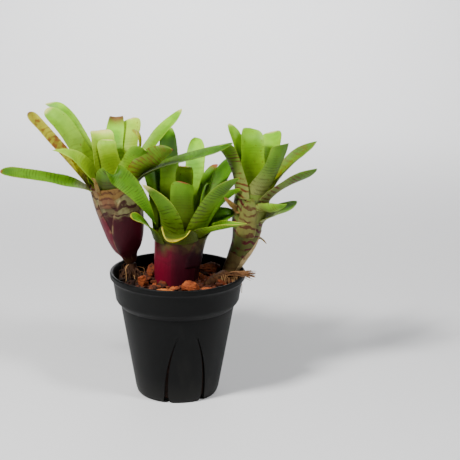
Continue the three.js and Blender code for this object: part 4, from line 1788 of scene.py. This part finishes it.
CENTRE_LEAVES = (
    # The scoop's olive base (base_reach 5) covers the whole blade: partly the olive of its flanks, partly
    # painted shade inside its trough.
    Leaf("scoop", -5, 17.7, -4, 21, (-0.5, -27, 118), (0.5, -36, 116), Tone.GREEN,
         Marks(bands=0.5, edge=2.5, tip=Tip.GOLD, tip_length=0.3, base=Base.OLIVE, base_reach=5.0),
         point=0, taper=0.6, lift=0.6, cup=0.9),
    Leaf("horn", -56, 17.7, -6, 10, (-20, -17, 122), (-30, -24, 129.5), Tone.GREEN,
         replace(OUTER, edge=0.7, tip=Tip.GOLD, tip_length=0.16), point=0.2, taper=0.8, twist=-30),
    Leaf("right_low", 58, 17.7, 1, 17, (27, -14, 118.5), (46, -14, 123), Tone.LIME,
         replace(OUTER, edge=0.9, tip=Tip.GOLD), point=0.6, cup=1.1, twist=8, settle=0.6, lift=0.3),
    Leaf("right_behind", 100, 17.7, -4, 15, (26, 4, 120.5), (39, 8, 125), Tone.DEEP, OUTER, point=0.6,
         twist=35, settle=0.6),
    Leaf("back_left", -134, 17.7, -4, 20, (-17, 20, 141), (-23, 30, 154), Tone.DEEP, PLAIN),
    Leaf("back_low", 176, 17.7, -3, 14, (0, 38, 132), (0, 60, 134), Tone.DEEP, OUTER),
    Leaf("front_left", -28, 14.6, -4, 14.5, (-6, -21, 131), (-22, -28, 152), Tone.GREEN,
         Marks(bands=0.5, lines=22, reach=0.7, edge=0.5, tip=Tip.PALE, tip_length=0.28),
         point=0.8, taper=0.35, twist=30, curl=0.8),
    Leaf("right_raised", 46, 14.6, -4, 13, (23, -20, 138.5), (41, -27, 157), Tone.GREEN,
         Marks(bands=0.5, lines=30, reach=0.9, edge=0.2, tip=Tip.GOLD, tip_length=0.08),
         point=0.8, taper=0.4, twist=-42),
    Leaf("back_right", 136, 15.4, -4, 15, (27, 26, 140.5), (37, 44, 156), Tone.DEEP, PLAIN),
    Leaf("right_light", 88, 14.6, -4, 15, (28, 0, 131), (41.5, -2, 143.5), Tone.PALE, PLAIN,
         point=0.6, twist=-40),
    Leaf("back_tall", -160, 14.4, -4, 14, (-8, 28, 157), (-6, 44, 175), Tone.DEEP,
         replace(PLAIN, tip_length=0.3), point=0.6),
    Leaf("back_middle", 162, 13.6, -4, 14, (11, 27, 152), (10, 42, 169), Tone.PALE, PLAIN, point=0.5),
    Leaf("red_tip", 120, 12, -5, 13, (19, 10, 142), (26, 16, 156), Tone.GREEN,
         replace(PLAIN, tip=Tip.RED, tip_length=0.4), point=0.6),
    # Its olive base, reaching 0.7 of the length, is partly its own colour, partly painted shade on its
    # lower half.
    Leaf("upright_front", 6, 11, -5, 16, (3, -10, 135), (4, -8, 149), Tone.GREEN,
         replace(PLAIN, tip=Tip.RED, tip_length=0.16, base=Base.OLIVE, base_reach=0.7),
         point=0, taper=0.75),
    Leaf("inner_small", 92, 10, -5, 8, (17, 0, 138), (21, 3, 145), Tone.GREEN, PLAIN),
    # FRESH lightens this leaf, partly as painted light where the left plant's long_reach casts its shadow.
    Leaf("heart", 178, 8, -7, 12, (4, 5, 144), (4, 8, 156), Tone.FRESH,
         replace(PLAIN, tip=Tip.RED, tip_length=0.3, base_reach=0.1), taper=0.7),
)

RIGHT_LEAVES = (
    Leaf("low", 92, 11.3, -19, 13, (67.5, 7, 126), (80, 13, 132), Tone.GREEN,
         MOTTLED, point=0.5, cup=0.4, twist=25, lift=0.2),
    Leaf("low_front", 40, 11.4, -11, 9, (61, -6, 131), (72.5, -12, 136), Tone.PALE,
         replace(RED_BANDS, reach=1.0), point=0.9, twist=-42, settle=0.3),
    Leaf("left_banded", -62, 11.6, -5, 14, (36, 2, 160), (28, -4, 173), Tone.GREEN,
         replace(RED_BANDS, lines=18), point=0.1, taper=0.8, twist=35),
    Leaf("banded", 70, 11.6, -5, 14, (75, 0, 147), (92, -6, 159), Tone.DEEP,
         replace(RED_BANDS, lines=17), point=0.8, twist=-40),
    Leaf("back_low", 166, 11.4, -9, 12, (54, 33, 147), (57, 54, 151), Tone.DEEP, MOTTLED),
    Leaf("spotted", 104, 10.6, -3, 14, (76, 14, 159), (93, 20, 172), Tone.GREEN,
         replace(RED_BANDS, bands=0.4, blotch=0.3, base=Base.INNER), point=0.9, twist=15),
    Leaf("rolled", 48, 9.8, -3, 19, (65.5, -3, 159), (70.5, -7, 175.5), Tone.GREEN,
         Marks(bands=0.3, reach=0.7, base=Base.MOTTLED, base_reach=0.3), point=0, taper=0.8, cup=0.9),
    Leaf("left_raised", -108, 10, -3, 13, (40, 15, 165.5), (33.5, 25, 182.5), Tone.LIME, PALE_TIP,
         point=0.5, twist=-25),
    Leaf("back_pale", 146, 9.6, -3, 14, (62, 27, 161.5), (63, 41, 174), Tone.PALE, PALE_TIP,
         point=0, taper=0.8),
    Leaf("broad_middle", -160, 8.4, -4, 17, (49, 14, 165), (48, 22, 180), Tone.LIME,
         replace(PLAIN, tip=Tip.BROWN), point=0, taper=0.7),
    Leaf("dried_curl", -54, 11.2, -14, 4.4, (37, -1, 131), (31, -4, 138), Tone.DRIED, DRY, lift=0.1,
         twist=-65, settle=0.3),
    Leaf("dried_spike", 84, 9.2, -33, 2.4, (57, 8, 106), (60, 8, 103), Tone.DRIED, DRY, lift=0.1),
)

LEFT_TUBE = SheathTube(
    name="left_vase_sheaths", node="left_sheath_vase", slot="sheath_maroon", flare=12, skin="340610",
    axis=((-32, 6, 89.5), (-34.5, 5.5, 100), (-36.9, 5, 116), (-40.4, 4, 134), (-42.6, 3.4, 145)),
    radii=(
        (3.6, 0), (4.6, 2), (5.8, 6), (8.8, 11), (11.6, 18), (13.4, 26), (14.8, 35), (15.8, 44), (16.2, 60),
    ),
    finish=SheathFinish(
        mottle="7c7a50", mottle_from=0.58, mottle_to=0.7, collar="74562c", collar_from=0.86, band="320c14",
        bands=0.9, bands_from=0.5, ripples=58, neck="4e3822", neck_to=0.14, margin="8c7650",
    ),
    sheaths=(
        Sheath(172, 3, 53, 62, 34, "34121a", 0.35),
        Sheath(-127, 3, 54, 60, 36, "461820", 0.45),
        Sheath(84, 3, 54, 66, 30, "2a0c12", 0.4),
        Sheath(-92, 4, 55, 64, 28, "5e1e2a", 0.75),
        Sheath(24, 5, 49, 68, 14, "380814", 0.9),
        Sheath(-22, 44, 57, 26, 10, "6a3c2c", 0.9, 0.5),
        Sheath(62, 46, 58, 30, 12, "5c3428", 0.9, 0.4),
    ),
)

CENTRE_TUBE = SheathTube(
    name="centre_tube_sheaths", node="centre_sheath_tube", slot="sheath_crimson", flare=14, skin="300a16",
    axis=((-1, 0, 66), (-0.8, 0, 80), (0, 0, 98), (1.6, 0, 113)),
    radii=((11.5, 0), (13.4, 8), (14.6, 18), (15.4, 32), (16.2, 41), (17, 46)),
    finish=SheathFinish(
        mottle="4a4020", mottle_from=0.8, mottle_to=0.9, collar="545018", collar_from=0.92, band="22060c",
        bands=0.2, bands_from=0.5, ripples=40, neck="2e0a10", neck_to=0.1, margin="4a1c22",
    ),
    # Painted light: the crimson on the tube's left side is partly its own colour, partly the key lamp's
    # light painted in.
    blush_and_light="6e0e26",
    sheaths=(
        Sheath(-134, 2, 43, 70, 40, "4a0e20", 0.4),
        Sheath(176, 2, 43, 60, 40, "3c0e1c", 0.35),
        Sheath(100, 2, 43, 66, 50, "26080e", 0.45),
        Sheath(-60, 2, 41, 66, 46, "4a0e20", 0.5),
        Sheath(20, 2, 43, 38, 34, "380c18", 0.6),
        Sheath(78, 24, 47, 60, 34, "2a0a14", 1.5),
    ),
)

RIGHT_TUBE = SheathTube(
    name="right_stem_sheaths", node="right_sheath_stem", slot="sheath_banded", flare=4, skin="4c5230",
    axis=((31.5, 10, 70), (35, 10, 82), (40.3, 10, 93.3), (44.8, 10, 104), (47.8, 10, 122), (50.6, 9, 140)),
    radii=((3.5, 0), (4.2, 9), (5, 16), (6.2, 24), (7.9, 35), (9.9, 50), (10.8, 62), (11, 80)),
    finish=SheathFinish(
        mottle="747842", mottle_from=0.55, mottle_to=0.95, collar="62782a", collar_from=0.9, band="4a1418",
        bands=1.0, bands_from=0.05, ripples=88, neck="5a4628", neck_to=0.3, margin="847648",
    ),
    sheaths=(
        Sheath(-120, 14, 66, 70, 34, "30381a", 0.35),
        Sheath(166, 12, 62, 66, 34, "4c5230", 0.35),
        Sheath(-50, 14, 66, 60, 26, "4a5028", 0.4),
        Sheath(40, 16, 60, 70, 30, "525626", 0.45),
        Sheath(96, 12, 46, 84, 16, "b49e70", 0.8, 1.0),
        Sheath(-20, 8, 27, 80, 40, "6a5c38", 0.7, 1.0),
        Sheath(-74, 44, 76, 46, 16, "5c682e", 1.1, 0.15),
        Sheath(64, 50, 78, 44, 14, "66702e", 1.1, 0.15),
        Sheath(-6, 40, 70, 44, 12, "727038", 1.3, 0.25),
    ),
)


@dataclass(frozen=True)
class Lamp:
    """One soft square light, with its place, its aim and its side in metres and its power in watts."""

    name: str
    place: Point
    aim: Point
    side: float
    power: float
    colour: Point = (1.0, 1.0, 1.0)

    def hang(self) -> None:
        """Hangs the light so that it faces its aim."""
        light = bpy.data.lights.new(self.name, "AREA")
        light.size, light.energy, light.color = self.side, self.power, self.colour
        lamp = add_object(self.name, light)
        lamp.location = self.place
        lamp.rotation_euler = (Vector(self.aim) - Vector(self.place)).to_track_quat("-Z", "Y").to_euler()


LAMPS = (
    Lamp("key", (-0.48, -0.5, 0.92), (0, 0, 0.1), 0.18, 19, (1.0, 0.99, 0.97)),
    Lamp("fill", (0.52, -0.42, 0.92), (0, 0, 0.1), 0.2, 7.5),
    Lamp("backdrop", (0.0, 1.1, 0.85), (0, 1.4, 0.45), 0.9, 17),
)


@dataclass
class Studio:
    """The plain pale sweep, in metres, with the soft light and the camera, in millimetres and degrees."""

    distance: float = 900.0
    elevation: float = 15.427
    roll: float = 0.778
    target: Point = (35.1, 0.0, 114.5)
    focal_pixels: float = 1337.8
    frame_pixels: float = 460.0
    sensor: float = 36.0
    reach: float = 3.0
    bend_from: float = 0.9
    bend_radius: float = 0.5
    paper: Tuple[str, str] = ("e2e3e5", "e6e6e7")
    sky: Colour = (0.96, 0.98, 1.0, 1.0)
    sky_strength: float = 0.07

    def camera(self) -> None:
        """Places the camera at the photograph's viewing angle."""
        angle = math.radians(self.elevation)
        forward = Vector((0, math.cos(angle), -math.sin(angle)))
        up = Vector((1, 0, 0)).cross(forward)
        lens = bpy.data.cameras.new("camera")
        lens.lens = self.sensor * self.focal_pixels / self.frame_pixels
        lens.sensor_width = self.sensor
        lens.clip_start, lens.clip_end = 0.05, 20
        view = add_object("camera", lens)
        tilt = math.radians(self.roll)
        right = Vector((1, 0, 0)) * math.cos(tilt) + up * math.sin(tilt)
        turned = right.cross(forward)
        view.matrix_world = Matrix((right, turned, -forward)).transposed().to_4x4()
        view.location = (Vector(self.target) - forward * self.distance) * MM
        bpy.context.scene.camera = view

    def sweep(self) -> None:
        """Lays the floor, which curves up into the backdrop far behind."""
        bm = bmesh.new()
        bmesh.ops.create_grid(bm, x_segments=4, y_segments=60, size=self.reach)
        radius = self.bend_radius
        for vert in bm.verts:
            beyond = vert.co.y - self.bend_from
            if beyond > 0:
                angle = min(beyond / radius, math.pi / 2)
                climb = max(0.0, beyond - radius * math.pi / 2)
                vert.co.y = self.bend_from + radius * math.sin(angle)
                vert.co.z = radius * (1 - math.cos(angle)) + climb
        mesh = make_mesh(bm, "sweep")
        mesh.shade_smooth()
        shader = Shader("sweep paper")
        tint = shader.mix(shader.grain(3, 2), *self.paper)
        paper = shader.finish(tint, 0.9, shader.grain(200, 2), depth=0.02, shine=0.2)
        mesh.materials.append(paper)
        add_object("sweep", mesh)

    def lights(self) -> None:
        """Hangs the lamps and sets the soft light all round."""
        for lamp in LAMPS:
            lamp.hang()
        world = bpy.data.worlds.new("studio")
        world.use_nodes = True
        background = world.node_tree.nodes["Background"]
        background.inputs["Color"].default_value = self.sky
        background.inputs["Strength"].default_value = self.sky_strength
        bpy.context.scene.world = world

    def build(self) -> None:
        """Sets up the studio."""
        self.camera()
        self.sweep()
        self.lights()


def clear_start_scene() -> None:
    """Removes the objects that a new Blender file comes with."""
    for item in list(bpy.data.objects):
        bpy.data.objects.remove(item)


def main() -> None:
    """Builds the studio, the pot, the bark, the roots and the three plants."""
    Studio().build()
    SlitPot().build()
    bark = BarkFinish().material("fir bark")
    BarkBed().build(bark)
    for k, chunk in enumerate(CHUNKS):
        chunk.build(k + 1, bark)
    roots = RootFinish().material("dry roots")
    LeftRoots().build(roots)
    RightRoots().build(roots)
    plants = (
        Rosette("left", LEFT_TUBE, LEFT_LEAVES),
        Rosette("centre", CENTRE_TUBE, CENTRE_LEAVES),
        Rosette("right", RIGHT_TUBE, RIGHT_LEAVES),
    )
    for plant in plants:
        pieces = plant.build()
        LOG.info("%s plant: %d pieces", plant.name, len(pieces))


if __name__ == "__main__":
    logging.basicConfig(level=logging.INFO, format="%(message)s")
    clear_start_scene()
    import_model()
    main()
